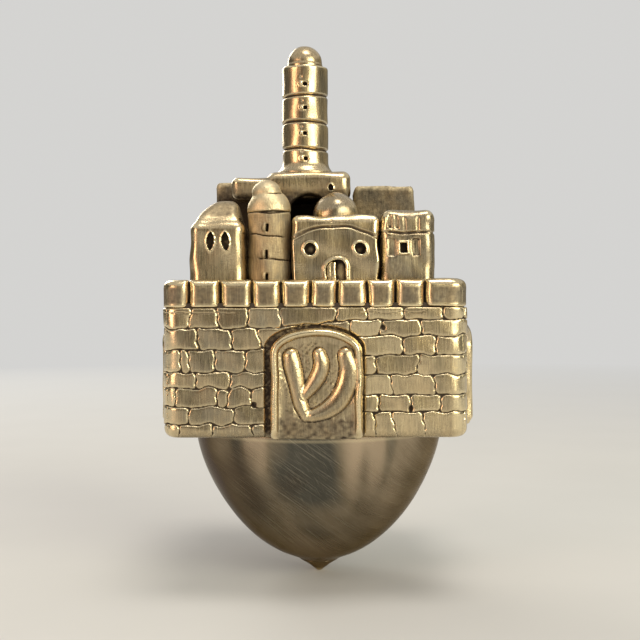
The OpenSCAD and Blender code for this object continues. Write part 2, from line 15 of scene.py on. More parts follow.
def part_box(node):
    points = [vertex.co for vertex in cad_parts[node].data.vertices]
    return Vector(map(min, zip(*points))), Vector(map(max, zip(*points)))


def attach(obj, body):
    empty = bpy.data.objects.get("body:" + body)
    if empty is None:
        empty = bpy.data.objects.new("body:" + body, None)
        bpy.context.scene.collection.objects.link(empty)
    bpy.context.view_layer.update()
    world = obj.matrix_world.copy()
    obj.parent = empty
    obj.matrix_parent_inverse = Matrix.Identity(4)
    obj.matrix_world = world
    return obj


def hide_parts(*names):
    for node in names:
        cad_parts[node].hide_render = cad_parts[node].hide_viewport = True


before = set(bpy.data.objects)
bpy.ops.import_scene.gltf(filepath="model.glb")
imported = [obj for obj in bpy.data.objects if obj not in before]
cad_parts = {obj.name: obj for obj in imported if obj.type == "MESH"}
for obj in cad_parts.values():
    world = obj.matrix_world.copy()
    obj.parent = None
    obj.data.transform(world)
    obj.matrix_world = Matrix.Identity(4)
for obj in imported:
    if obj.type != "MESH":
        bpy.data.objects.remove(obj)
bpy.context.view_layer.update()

MM = 0.001
SEED = 11
FAR = 1e9

# Main sizes, in mm
WALL_W = 32.0
WALL_T = 1.5
WALL_Z = 17.8
WALL_H = 14.0
CORNER_R = 1.9
FOOT_R = 0.9
GATE_W = 9.6
GATE_H = 11.6
GATE_RISE = 2.5
GATE_OUT = 1.87
GATE_SHIFT = 0.25
RECESS = 0.48
BOWL_R = 14.5
TIP_Z = 1.5
TOWER_X = -1.4
TOWER_R = 2.7
CITADEL_X = -0.9
CITADEL_H = 15.1

# Outer face from the axis, half of its flat stretch, its length to the middle of its corners, the way round
OUTER = WALL_W / 2
FLAT = OUTER - CORNER_R
LENGTH = WALL_W - 2 * CORNER_R + CORNER_R * math.pi / 2
AROUND = 4 * LENGTH
DECK_Z = WALL_Z + WALL_H

# Grid steps, in mm
CASTING_STEP = 0.1
GATE_STEP = 0.08
SHEET_STEP = 0.084
MERLON_STEP = 0.11


# Smooth random fields

RING_WAVES = 9


def sine_field(points, seed, length, count=7):
    """Smooth field of about unit spread, with features about length mm wide."""
    rng = np.random.default_rng(SEED + seed)
    total = 0
    for _ in range(count):
        way = rng.normal(size=3)
        way *= 2 * math.pi / (np.linalg.norm(way) * length * rng.uniform(0.8, 2.2))
        phase = rng.uniform(0, 2 * math.pi)
        total = total + np.sin(sum(np.float32(k) * q for k, q in zip(way, points)) + np.float32(phase))
    return total * math.sqrt(2 / count)


def ring_noise(u, seed, low, high):
    """Smooth field along the way round the walls, with low to high waves on it."""
    rng = np.random.default_rng(SEED + seed)
    total = 0
    for _ in range(RING_WAVES):
        wave = rng.integers(low, high)
        total = total + np.sin(2 * math.pi * wave * u / AROUND + rng.uniform(0, 2 * math.pi))
    return total * math.sqrt(2 / RING_WAVES)


def smoothstep(value, low, high):
    t = np.clip((value - low) / (high - low), 0, 1)
    return t * t * (3 - 2 * t)


# Signed distances: negative inside, in mm

def join(a, b, k=0.0):
    """Union with a fillet of about k."""
    if not k:
        return np.minimum(a, b)
    h = np.maximum(k - np.abs(a - b), 0) / k
    return np.minimum(a, b) - h * h * k / 4


def meet(a, b, k=0.0):
    """Intersection with a rounded edge of about k."""
    return -join(-a, -b, k)


def carve(a, b, k=0.0):
    """a without b."""
    return meet(a, -b, k)


def block(p, low, high, r):
    """Box between two corners, with all edges rounded by r."""
    parts = [np.abs(q - (lo + hi) / 2) - (hi - lo) / 2 + r for q, lo, hi in zip(p, low, high)]
    outside = sum(np.maximum(q, 0) ** 2 for q in parts) ** 0.5
    return outside + np.minimum(np.maximum(np.maximum(parts[0], parts[1]), parts[2]), 0) - r


def drum(p, r, low, high, edge):
    """Upright cylinder on the Z axis, with rounded rims."""
    a = np.hypot(p[0], p[1]) - r + edge
    b = np.abs(p[2] - (low + high) / 2) - (high - low) / 2 + edge
    return np.hypot(np.maximum(a, 0), np.maximum(b, 0)) + np.minimum(np.maximum(a, b), 0) - edge


def ball(p, centre, r, squash=1.0):
    """Ball, or with squash below 1 a flattened one."""
    d = np.sqrt((p[0] - centre[0]) ** 2 + (p[1] - centre[1]) ** 2 + ((p[2] - centre[2]) / squash) ** 2) - r
    return d * squash


def plane(p, point, normal):
    n = np.array(normal, float) / np.linalg.norm(normal)
    return sum((q - c) * k for q, c, k in zip(p, point, n))


def relief(flat, y, front, depth):
    """A flat outline's distance, pushed depth into a front that stands at y = front and faces -Y."""
    return np.maximum(flat, y - front - depth)


def rim(flat, y, front, width, height):
    """Raised round rim along a flat outline on a front that faces -Y."""
    return np.hypot(flat, (y - front) * width / height) - width


def leaf(x, z, half_w, half_h):
    """Pointed window outline."""
    r = (half_w ** 2 + half_h ** 2) / (2 * half_w)
    c = r - half_w
    return np.maximum(np.hypot(x - c, z), np.hypot(x + c, z)) - r


def arch(x, z, half_w, top):
    """Round-headed opening that stands on z = 0."""
    spring = top - half_w
    return np.where(z > spring, np.hypot(x, z - spring), np.abs(x)) - half_w


def segment(u, v, a, b):
    """How far along from a to b the place nearest to each point is, as a share, and its distance."""
    run, rise = b[0] - a[0], b[1] - a[1]
    t = np.clip(((u - a[0]) * run + (v - a[1]) * rise) / (run * run + rise * rise), 0, 1)
    return t, np.hypot(u - a[0] - t * run, v - a[1] - t * rise)


def outline_distance(u, v, points):
    """Signed distance to a closed outline, exact, negative inside."""
    points = np.asarray(points, float)
    best = np.full(np.broadcast(u, v).shape, FAR)
    inside = np.zeros(best.shape, bool)
    for a, b in zip(points, np.roll(points, -1, 0)):
        best = np.minimum(best, segment(u, v, a, b)[1])
        if a[1] != b[1]:
            crossing = a[0] + (v - a[1]) * (b[0] - a[0]) / (b[1] - a[1])
            inside ^= ((a[1] > v) != (b[1] > v)) & (u < crossing)
    return np.where(inside, -best, best)


def stroke_distance(u, v, points):
    """Distance to the edge of a stroke given as (u, v, half width) points."""
    best = np.full(np.broadcast(u, v).shape, FAR)
    for a, b in zip(points[:-1], points[1:]):
        t, away = segment(u, v, a, b)
        best = np.minimum(best, away - a[2] - t * (b[2] - a[2]))
    return best


# Steps between two points of a stroke, along a gate's head, and round each of its feet
CURVE_STEPS = 4
HEAD_STEPS = 48
FOOT_STEPS = 6


def curved(points):
    """Points of a smooth curve through a stroke's points."""
    points = np.array(points)
    ends = np.concatenate([2 * points[:1] - points[1:2], points, 2 * points[-1:] - points[-2:-1]])
    out = []
    for a, b, c, d in zip(ends, ends[1:], ends[2:], ends[3:]):
        for t in np.arange(CURVE_STEPS) / CURVE_STEPS:
            bend = (2 * a - 5 * b + 4 * c - d) * t ** 2 + (3 * b - a - 3 * c + d) * t ** 3
            out.append((2 * b + (c - a) * t + bend) / 2)
    return out + [points[-1]]


def arc(x, y, rx, ry, start, stop, steps):
    """Points on an elliptic arc between two angles in radians."""
    angles = [start + (stop - start) * i / steps for i in range(steps + 1)]
    return [(x + rx * math.cos(a), y + ry * math.sin(a)) for a in angles]


def arch_outline(half_w, height, base, foot_r=0.0):
    """Outline of a gate with an elliptic head, standing on v = base, with square or rounded feet."""
    head = arc(0, height - GATE_RISE, half_w, GATE_RISE, 0, math.pi, HEAD_STEPS)
    if not foot_r:
        return head + [(-half_w, base), (half_w, base)]
    x, y = half_w - foot_r, base + foot_r
    left = arc(-x, y, foot_r, foot_r, math.pi, 1.5 * math.pi, FOOT_STEPS)
    return head + left + arc(x, y, foot_r, foot_r, 1.5 * math.pi, 2 * math.pi, FOOT_STEPS)


# Meshes: vertices in mm, quads, and notes, which are values for each vertex that the materials read

EDGES = [(a, b) for a in range(8) for b in range(8) if b > a and bin(a ^ b).count("1") == 1]
CORNERS = np.array([[(c >> 2) & 1, (c >> 1) & 1, c & 1] for c in range(8)])

# Empty cells round a casting, then in mm the size of its unevenness and the reach of its edges and hollows
MARGIN = 4
WARP_LENGTH = 2.6
NEAR = 0.2
WIDE = 0.55


def sample(field, at):
    """Trilinear samples of a grid at positions in cells."""
    top = np.array(field.shape) - 2
    cell = np.clip(np.floor(at).astype(int), 0, top)
    t = at - cell
    total = 0
    for c in CORNERS:
        weight = np.prod(np.where(c, t, 1 - t), axis=1)
        i, j, k = (cell + c).T
        total = total + weight * field[i, j, k]
    return total


def surface_net(field):
    """Vertices, in cells, and quads of the surface where the field is 0."""
    inside = field < 0
    count = sum(inside[c[0]:inside.shape[0] - 1 + c[0], c[1]:inside.shape[1] - 1 + c[1],
                       c[2]:inside.shape[2] - 1 + c[2]].astype(np.int8) for c in CORNERS)
    active = (count > 0) & (count < 8)
    cells = np.argwhere(active)
    index = np.full(active.shape, -1, np.int64)
    index[active] = np.arange(len(cells))
    values = [field[tuple((cells + c).T)] for c in CORNERS]
    place = np.zeros((len(cells), 3))
    hits = np.zeros(len(cells))
    for a, b in EDGES:
        crossing = (values[a] < 0) != (values[b] < 0)
        gap = np.where(crossing, values[a] - values[b], 1)
        t = np.where(crossing, values[a] / gap, 0)[:, None]
        place += np.where(crossing[:, None], CORNERS[a] + t * (CORNERS[b] - CORNERS[a]), 0)
        hits += crossing
    quads = []
    for axis in range(3):
        u, v = (axis + 1) % 3, (axis + 2) % 3
        first = [slice(1, -1)] * 3
        first[axis] = slice(0, -1)
        second = list(first)
        second[axis] = slice(1, None)
        a, b = inside[tuple(first)], inside[tuple(second)]
        for leaving, order in ((a & ~b, (0, 1, 2, 3)), (b & ~a, (3, 2, 1, 0))):
            edge = np.argwhere(leaving)
            edge[:, u] += 1
            edge[:, v] += 1
            ring = []
            for du, dv in ((-1, -1), (0, -1), (0, 0), (-1, 0)):
                cell = edge.copy()
                cell[:, u] += du
                cell[:, v] += dv
                ring.append(index[tuple(cell.T)])
            quads.append(np.stack([ring[o] for o in order], 1))
    return cells + place / hits[:, None], np.concatenate(quads)


def settle(field, at):
    """Moves points along the field's slope onto its surface."""
    value = sample(field, at)
    slope = np.stack([sample(field, at + e) - sample(field, at - e) for e in np.eye(3) * 0.5], 1)
    steep = (slope ** 2).sum(1)
    step = value / np.maximum(steep, 0.2 * np.median(steep))
    return at - np.clip(step, -1, 1)[:, None] * slope


def blurred(grid, radius):
    """Mean over a cube of 2 radius + 1 cells."""
    width = 2 * radius + 1
    for axis in range(3):
        ends = [(radius + 1, radius) if a == axis else (0, 0) for a in range(3)]
        line = np.cumsum(np.pad(grid, ends, mode="edge"), axis=axis, dtype=np.float64)
        size = grid.shape[axis]
        total = np.take(line, range(width, width + size), axis) - np.take(line, range(size), axis)
        grid = (total / width).astype(np.float32)
    return grid


def wear_and_grime(field, step, at):
    """How far each point stands out, as on an edge, and how far it lies in a groove, both 0 to 1.

    The measure is how much of the cube round the point is solid: half of it on a flat.
    """
    solid = np.clip(0.5 - field / step, 0, 1).astype(np.float32)
    near = sample(blurred(solid, max(1, round(NEAR / step))), at)
    wide = sample(blurred(solid, max(2, round(WIDE / step))), at)
    grime = np.maximum(smoothstep(near, 0.55, 0.7), 0.9 * smoothstep(wide, 0.55, 0.78))
    wear = np.maximum(smoothstep(near, 0.46, 0.3), 0.7 * smoothstep(wide, 0.44, 0.28))
    return wear, grime


def casting(shape, low, high, step, warp=0.05, seed=0):
    """Meshes a shape on a grid. The warp gives it the unevenness of a hand-made wax."""
    low = np.array(low, float) - MARGIN * step
    count = np.ceil((np.array(high, float) + MARGIN * step - low) / step).astype(int) + 1
    axes = [(low[i] + step * np.arange(count[i])).astype(np.float32) for i in range(3)]
    p = list(np.meshgrid(*axes, indexing="ij"))
    if warp:
        bend = [sine_field(p, seed * 31 + i, WARP_LENGTH) for i in range(3)]
        p = [q + np.float32(warp) * b for q, b in zip(p, bend)]
    field = np.asarray(shape(p), np.float32)
    at, quads = surface_net(field)
    at = settle(field, at)
    wear, grime = wear_and_grime(field, step, at)
    return low + at * step, quads, {"wear": wear, "grime": grime}


def grid_quads(grid):
    """Quads of a grid of vertex numbers."""
    return np.stack([grid[:-1, :-1], grid[:-1, 1:], grid[1:, 1:], grid[1:, :-1]], -1).reshape(-1, 4)


def merged(one, other):
    """Two meshes as one."""
    notes = {key: np.concatenate([one[2][key], other[2][key]]) for key in one[2]}
    return np.concatenate([one[0], other[0]]), np.concatenate([one[1], other[1] + len(one[0])]), notes


def turned(mesh, quarter):
    """The mesh turned about Z by quarter turns."""
    v, f, n = mesh
    c, s = ((1, 0), (0, 1), (-1, 0), (0, -1))[quarter]
    x, y = v[:, 0], v[:, 1]
    return np.stack([c * x - s * y, s * x + c * y, v[:, 2]], 1), f, n


def moved(mesh, x, y, z):
    return mesh[0] + np.array([x, y, z]), mesh[1], mesh[2]


def add_piece(name, mesh, material, nodes, caps=()):
    """Makes a Blender object of a mesh in mm, puts it on the frame's body and in its nodes' place."""
    vertices, quads, notes = mesh
    data = bpy.data.meshes.new(name)
    corners = np.concatenate([quads.ravel(), *caps]).astype(np.int32)
    sizes = np.array([quads.shape[1]] * len(quads) + [len(cap) for cap in caps], np.int32)
    data.vertices.add(len(vertices))
    data.vertices.foreach_set("co", (vertices * MM).astype(np.float32).ravel())
    data.loops.add(len(corners))
    data.loops.foreach_set("vertex_index", corners)
    data.polygons.add(len(sizes))
    data.polygons.foreach_set("loop_start", (np.cumsum(sizes) - sizes).astype(np.int32))
    data.polygons.foreach_set("use_smooth", np.arange(len(sizes)) < len(quads))
    data.update(calc_edges=True)
    data.validate()
    for key, values in notes.items():
        layer = data.attributes.new(key, "FLOAT", "POINT")
        layer.data.foreach_set("value", np.asarray(values, np.float32))
    data.materials.append(material)
    piece = bpy.data.objects.new(name, data)
    bpy.context.scene.collection.objects.link(piece)
    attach(piece, "root")
    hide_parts(*nodes)


# Walls

# Heights of the bed joints at the four corners: front left, front right, back right, back left
BEDS = [
    (1.44, 3.27, 5.26, 6.88, 9.23, 11.48),
    (2.75, 4.52, 6.62, 8.66, 10.64, 12.32),
    (1.9, 3.9, 5.7, 7.9, 9.9, 12.0),
    (2.4, 4.2, 6.4, 8.2, 10.3, 11.7),
]
# Upright joints of the front wall, course by course from the foot, from the wall's middle
FRONT_JOINTS = [
    (-14.2, -10.7, -6.5, 6.3, 8.3, 11.4),
    (-13.2, -8.4, 6.7, 10.0, 13.1),
    (-14.6, -10.2, -9.1, -6.6, 8.0, 12.5),
    (-12.4, -8.8, 6.4, 10.8),
    (-14.0, -13.1, -10.4, -7.2, 9.2, 12.6),
    (-12.2, -8.6, -5.7, 0.3, 3.7, 6.9, 11.1),
    (-13.0, -10.1, -6.9, -3.5, 2.3, 5.5, 9.3, 13.4),
]
STONE_SHORT, STONE_LONG = 2.0, 3.9
STONE_R = 0.4
JOINT_HALF = 0.028
JOINT_SOFT = 0.055
JOINT_DEPTH = 0.16
BED_WAVE = 0.075
JOINT_SLANT = 0.14
LIP_W = 0.11
LIP_DROP = 0.06

# Pits where stones have come apart, and a worn line under the top of the sheet
PITS = ((7.15, 11.5), (10.0, 3.1), (-6.3, 3.5))
PIT_R = 0.24
PIT_DEPTH = 0.22
LINE_DROP = 0.5
LINE_DEPTH = 0.06

SHEET_H = WALL_H - 0.4
FOOT_ROWS = 14
# Room round a gate in its bed in the wall, and the foot of the bed, which is open below
RECESS_ROOM = 0.4
RECESS_BASE = -3.0


def from_front(u):
    """Place on the way round, from the front wall's middle, with the front wall in one stretch."""
    return (u + LENGTH / 2) % AROUND - LENGTH / 2


def joint_places(course, rng):
    """Upright joints of one course round all four walls."""
    places = list(FRONT_JOINTS[course])
    u = LENGTH / 2 + rng.uniform(0.2, 1.4)
    while u < 3.5 * LENGTH - STONE_SHORT:
        places.append(u)
        u += rng.uniform(STONE_SHORT, STONE_LONG)
    return np.array([places[-1] - AROUND] + places + [places[0] + AROUND])


def bed_joints(u, whole, wall):
    """Heights of the foot, the wavy bed joints and the top along one wall."""
    share = smoothstep(u / LENGTH, -0.2, 0.2)
    beds = [np.full_like(u, -2.0)]
    for k, (left, right) in enumerate(zip(BEDS[wall], BEDS[(wall + 1) % 4])):
        beds.append(left * (1 - share) + right * share + BED_WAVE * ring_noise(whole, 50 + k, 18, 70))
    return beds + [np.full_like(u, SHEET_H + 0.05)]


def weathered(height, gap, whole, z):
    """The stones' height and how far joints are open, with the pits and the worn line put in."""
    for pit_u, pit_z in PITS:
        pit = smoothstep(np.hypot(whole - pit_u, (z - pit_z) * 0.8), PIT_R + 0.1, PIT_R - 0.1)
        height = height - PIT_DEPTH * pit
        gap = np.maximum(gap, pit)
    line = z - SHEET_H + LINE_DROP - 0.05 * ring_noise(whole, 140, 20, 80)
    line = smoothstep(np.abs(line), 0.05, 0.02) * smoothstep(ring_noise(whole, 141, 3, 14), -0.2, 0.3)
    return height - LINE_DEPTH * line, np.maximum(gap, 0.7 * line)


def stone_relief(u, z, wall):
    """Height of the stones over the wall's face, how far joints are open, the stones' tone with painted side
    light and shade, and their lips.
    """
    rng = np.random.default_rng(SEED)
    joints = [joint_places(c, rng) for c in range(len(FRONT_JOINTS))]
    stones = len(joints), max(len(j) for j in joints)
    lift = rng.uniform(-0.04, 0.05, stones)
    lean_u = rng.normal(0.012, 0.022, stones)
    lean_z = rng.normal(0, 0.028, stones)
    tone = rng.uniform(-0.25, 0.25, stones)

    whole = from_front(u + wall * LENGTH)
    beds = bed_joints(u, whole, wall)
    calm = 0.2 + 0.8 * smoothstep(np.abs(u), FLAT, FLAT - 1.5)
    # Each wall is darker on its left half and lighter on its right half: painted shade and painted light.
    painted_side_shade = 0.42 + 0.33 * np.sin(2 * math.pi * u / LENGTH)
    layers = np.zeros((4,) + u.shape)
    for c, (low, high) in enumerate(zip(beds[:-1], beds[1:])):
        middle = (np.maximum(low, 0) + high) / 2
        slant = JOINT_SLANT * ring_noise(whole, 80 + c, 12, 60)
        bent = from_front(whole + slant * (z - middle) + 0.06 * np.sin(z * 5.1 + c + whole * 0.4))
        slot = np.clip(np.searchsorted(joints[c], bent), 1, len(joints[c]) - 1)
        near, far = joints[c][slot - 1], joints[c][slot]
        du = np.minimum(bent - near, far - bent)
        dz = np.minimum(z - low, high - z)
        rounded = STONE_R - np.hypot(STONE_R - du, STONE_R - dz)
        inner = np.where((du < STONE_R) & (dz < STONE_R), rounded, np.minimum(du, dz))
        lean = lean_u[c, slot] * (bent - (near + far) / 2) + lean_z[c, slot] * (z - middle)
        stone = lift[c, slot] + calm * lean
        half = JOINT_HALF * (1 + 0.35 * ring_noise(whole + z * 1.7, 120 + c, 40, 130))
        opened = 1 - smoothstep(inner, half, half + JOINT_SOFT)
        lip = np.exp(-np.maximum(inner - half, 0) / LIP_W)
        height = stone - LIP_DROP * lip - (JOINT_DEPTH + stone) * opened
        course = (height, opened, painted_side_shade + tone[c, slot], lip)
        layers = np.where((z > low) & (z <= high), course, layers)

    height, gap, tone, lip = layers
    height, gap = weathered(height, gap, whole, z)
    return height, gap, np.clip(tone, 0, 1), lip


def sheet_rows():
    """Rows up the outer face as (inset from it, height, share of the stone relief)."""
    rows = [(FOOT_R + 0.02, 0.0, 0.0)]
    for i in range(1, FOOT_ROWS):
        a = math.pi / 2 * i / FOOT_ROWS
        rows.append((FOOT_R * (1 - math.sin(a)), FOOT_R * (1 - math.cos(a)), math.sin(a)))
    top = SHEET_H - 0.1
    rows += [(0.0, h, 1.0) for h in np.linspace(FOOT_R, top, round((top - FOOT_R) / SHEET_STEP) + 1)]
    rows += [(0.03, SHEET_H - 0.03, 0.8), (0.1, SHEET_H, 0.3), (0.26, SHEET_H, 0.0)]
    return np.array(rows + [(0.34, SHEET_H + 0.1, 0.0), (0.34, WALL_H + 0.1, 0.0)])


def wall_section():
    """Along one wall: way round, turn of the corner, outer places, their normals, and inner places."""
    columns = np.linspace(-LENGTH / 2, LENGTH / 2, round(LENGTH / SHEET_STEP) + 1)
    side = np.sign(columns)
    turn = np.maximum(np.abs(columns) - FLAT, 0) / CORNER_R
    x = np.where(turn > 0, side * (FLAT + CORNER_R * np.sin(turn)), columns)
    outer = np.stack([x, -FLAT - CORNER_R * np.cos(turn), 0 * x], 1)
    normal = np.stack([side * np.sin(turn), -np.cos(turn), 0 * turn], 1)
    inner_half = OUTER - WALL_T
    inner = np.stack([x * inner_half / (FLAT + CORNER_R * math.sqrt(0.5)), 0 * x - inner_half, 0 * x], 1)
    return columns, turn, outer, normal, inner


def wall_surface(u, z, wall):
    """How far the outer face stands out, its grime and painted shade, tone and lips, with the sunk bed of the
    gate.
    """
    height, gap, tone, lip = stone_relief(u, z, wall)
    dent = 0.03 * ring_noise(u + wall * LENGTH + 0.8 * z, 7, 8, 40)
    recess = outline_distance(u, z, arch_outline(GATE_W / 2 + RECESS_ROOM, GATE_H + 0.2, RECESS_BASE))
    sunk = 1 - smoothstep(recess, -0.05, 0.06)
    rough = 0.04 * sine_field((u, z, 0 * u), 9, 0.35, 14)
    worn_lip = 0.06 * np.exp(-np.maximum(recess, 0) / 0.12)
    # In the gate's bed the face is sunk, and its darkness is painted shade.
    out = (height + dent - worn_lip) * (1 - sunk) + (rough - RECESS) * sunk
    return out, np.maximum(gap, sunk * (0.72 + 3.0 * rough)), tone, lip


def wall_sheet(wall):
    """Closed shell of one wall, its stones standing out of the outer face, cut at 45 degrees at both ends."""
    columns, turn, outer, normal, inner = wall_section()
    inset, z, share = sheet_rows().T[:, :, None]
    u, zz = np.broadcast_arrays(columns, z)
    out, grime, tone, lip = wall_surface(u, zz, wall)
    offset = out * share - inset
    up = np.array([0, 0, 1.0])
    vertices = outer + normal * offset[..., None] + up * (zz[..., None] + WALL_Z)
    grime = grime * share
    # The sheet's top under the merlons is painted fully dark: painted shade.
    grime[-3:] = 1
    wear = (1 - grime) * np.clip(0.08 + 0.9 * np.minimum(turn, 0.6) + 0.8 * lip * share, 0, 1)

    # The inside is plain and dark, with a few rows
    inside = [inner + up * (WALL_Z + h) for h in (WALL_H + 0.1, WALL_H * 0.66, WALL_H * 0.33, 0.0)]
    bands = np.concatenate([vertices, inside])
    notes = {}
    for key, values, within in (("wear", wear, 0.0), ("grime", grime, 0.8), ("tone", tone, 0.5)):
        notes[key] = np.concatenate([values, np.full((len(inside), len(columns)), within)]).ravel()
    grid = np.arange(bands.shape[0] * bands.shape[1]).reshape(bands.shape[:2])
    quads = grid_quads(np.concatenate([grid, grid[:1]]))
    return (bands.reshape(-1, 3), quads, notes), [grid[:, 0], grid[::-1, -1]]


GAPS = [(share - 0.5) * WALL_W for share in (0.09, 0.193, 0.297, 0.391, 0.488, 0.575, 0.672, 0.764, 0.862)]
MERLON_LOW = WALL_Z + SHEET_H + 0.1
MERLON_HIGH = DECK_Z + 2.6
GAP_HALF = 0.04
MERLON_SOFT = 1.0
MERLON_CORNER = 0.35
MERLON_FOOT = 0.12
MERLON_CROWN = 0.05
MERLON_INSET = 0.04


def merlon(p, west, east, seed, south=None):
    """One merlon of the front wall between two gaps. With south it runs on round the corner to that gap."""
    rng = np.random.default_rng(SEED + seed)
    x, y, z = p
    top = z - MERLON_HIGH + rng.uniform(0.0, 0.06)
    middle, half = (west + east) / 2, (east - west) / 2
    side = np.abs(x - middle) - half
    if south is None:
        crown = MERLON_CROWN * np.clip(1 - ((x - middle) / half) ** 2, 0, 1)
        face = -y - OUTER + MERLON_INSET - crown + rng.normal(0, 0.02) * (x - middle)
        back = y + OUTER - WALL_T
    else:
        q = [np.abs(v) - OUTER + CORNER_R + MERLON_INSET / 2 for v in (x, y)]
        face = np.hypot(np.maximum(q[0], 0), np.maximum(q[1], 0)) + np.minimum(np.maximum(*q), 0) - CORNER_R
        back = OUTER - WALL_T - np.maximum(np.abs(x), np.abs(y))
        side = np.maximum(side, y - south)
    shell = np.maximum(meet(face, side, MERLON_SOFT), meet(face, top, MERLON_SOFT))
    shell = np.maximum(shell, meet(np.maximum(side, back), top, MERLON_CORNER))
    return meet(shell, MERLON_LOW - z, MERLON_FOOT)


def merlon_row(wall):
    """Merlons of one wall. Front and back walls carry the corner merlons."""
    corners = wall % 2 == 0
    west = [-OUTER - 1] + [g + GAP_HALF for g in GAPS]
    east = [g - GAP_HALF for g in GAPS] + [OUTER + 1]
    south = {0: -GAPS[-1] - GAP_HALF, len(GAPS): GAPS[0] - GAP_HALF}

    def shape(p):
        d = FAR
        for i in range(len(west)):
            if corners or i not in south:
                d = np.minimum(d, merlon(p, west[i], east[i], wall * 20 + i, south.get(i)))
        return d

    reach = OUTER if corners else -GAPS[0]
    back = -GAPS[-1] if corners else -OUTER + WALL_T
    v, f, n = casting(shape, (-reach, -OUTER, MERLON_LOW), (reach, back, MERLON_HIGH), MERLON_STEP,
                      warp=0.03, seed=wall + 40)

    # Painted shade deep in the gaps, a painted dark reflection in the middle of each face, and bright along
    # its edges, partly worn and partly a painted highlight
    edge = np.full(len(v), 9.0)
    gap_shade = np.zeros(len(v))
    for across, inward, places in ((0, 1, GAPS), (1, 0, (-GAPS[-1], GAPS[0]))):
        near = np.abs(v[:, across, None] - np.array(places)).min(1)
        depth = OUTER - np.abs(v[:, inward])
        gap_shade = np.maximum(gap_shade, smoothstep(near, 0.20, 0.08) * smoothstep(depth, 0.5, 1.0))
        edge = np.where(depth < 0.5, np.minimum(edge, near), edge)
    painted_dark_core = smoothstep(np.minimum(edge, v[:, 2] - MERLON_LOW + 0.4), 0.4, 0.9)
    painted_dark_core = painted_dark_core * smoothstep(MERLON_HIGH - v[:, 2], 0.55, 1.0) * (edge < 9)
    n["tone"] = 0.55 - (0.42 + 0.13 * np.sin(v[:, 0] * 2.1 + wall)) * painted_dark_core
    n["grime"] = np.maximum(n["grime"], np.maximum(gap_shade, 0.45 * painted_dark_core))
    n["wear"] = np.maximum(n["wear"], 0.35 * (1 - painted_dark_core))
    return v, f, n


def build_walls(material):
    for wall, name in enumerate(("wall_front", "wall_right", "wall_back", "wall_left")):
        sheet, ends = wall_sheet(wall)
        mesh = merged(sheet, merlon_row(wall))
        add_piece(name, turned(mesh, wall), material, [name], caps=ends)


# Gates

FIELD_DROP = 0.5
FIELD_LEVEL = GATE_OUT - FIELD_DROP
BORDER_PLACE, BORDER_HALF = 0.42, 0.46
LETTER_ROUND = 1.0
LETTER_RISE = 0.5
PLAQUE_HALF = GATE_W / 2 - 0.04
PLAQUE_H = GATE_H - 0.04
PLAQUE_BASE = 0.03
GATE_FOOT_R = 0.55
# Foot of the line that the border follows, far enough down to keep the border off the gate's foot
HOOD_BASE = -6.0

# Strokes of the letters as (across, up, half width) from the middle of the gate's foot
SHIN = [
    [(-2.65, 8.7, 0.78), (-2.38, 7.4, 0.92), (-1.95, 5.4, 0.82), (-1.6, 3.7, 0.74), (-1.1, 2.4, 0.6)],
    [(0.3, 8.85, 0.7), (0.55, 7.9, 0.82), (0.38, 6.9, 0.84), (-0.2, 5.8, 0.8), (-1.15, 4.7, 0.62)],
    [(3.0, 8.75, 0.84), (3.3, 7.2, 1.0), (3.0, 5.5, 1.0), (2.2, 4.0, 0.95), (0.9, 2.95, 0.84),
     (-0.5, 2.45, 0.66)],
]
HEI = [
    [(-2.8, 8.6, 0.75), (-1.0, 8.75, 0.9), (1.2, 8.75, 0.9), (2.6, 8.3, 0.9), (2.75, 6.2, 0.8),
     (2.6, 2.7, 0.7)],
    [(-2.2, 6.3, 0.55), (-2.5, 4.4, 0.7), (-2.45, 2.7, 0.72)],
]
GIMEL = [
    [(-0.9, 8.7, 0.75), (0.6, 8.6, 0.85), (1.35, 7.2, 0.8), (1.5, 5.2, 0.75), (1.9, 3.6, 0.8),
     (2.4, 2.7, 0.7)],
    [(1.4, 5.0, 0.55), (0.2, 4.5, 0.6), (-0.9, 3.8, 0.65), (-2.0, 2.75, 0.65)],
]
NUN = [
    [(-0.7, 8.7, 0.75), (0.7, 8.5, 0.85), (1.45, 7.4, 0.8), (1.5, 5.4, 0.75), (1.4, 3.5, 0.8),
     (0.3, 2.75, 0.8), (-2.0, 2.7, 0.75)],
]


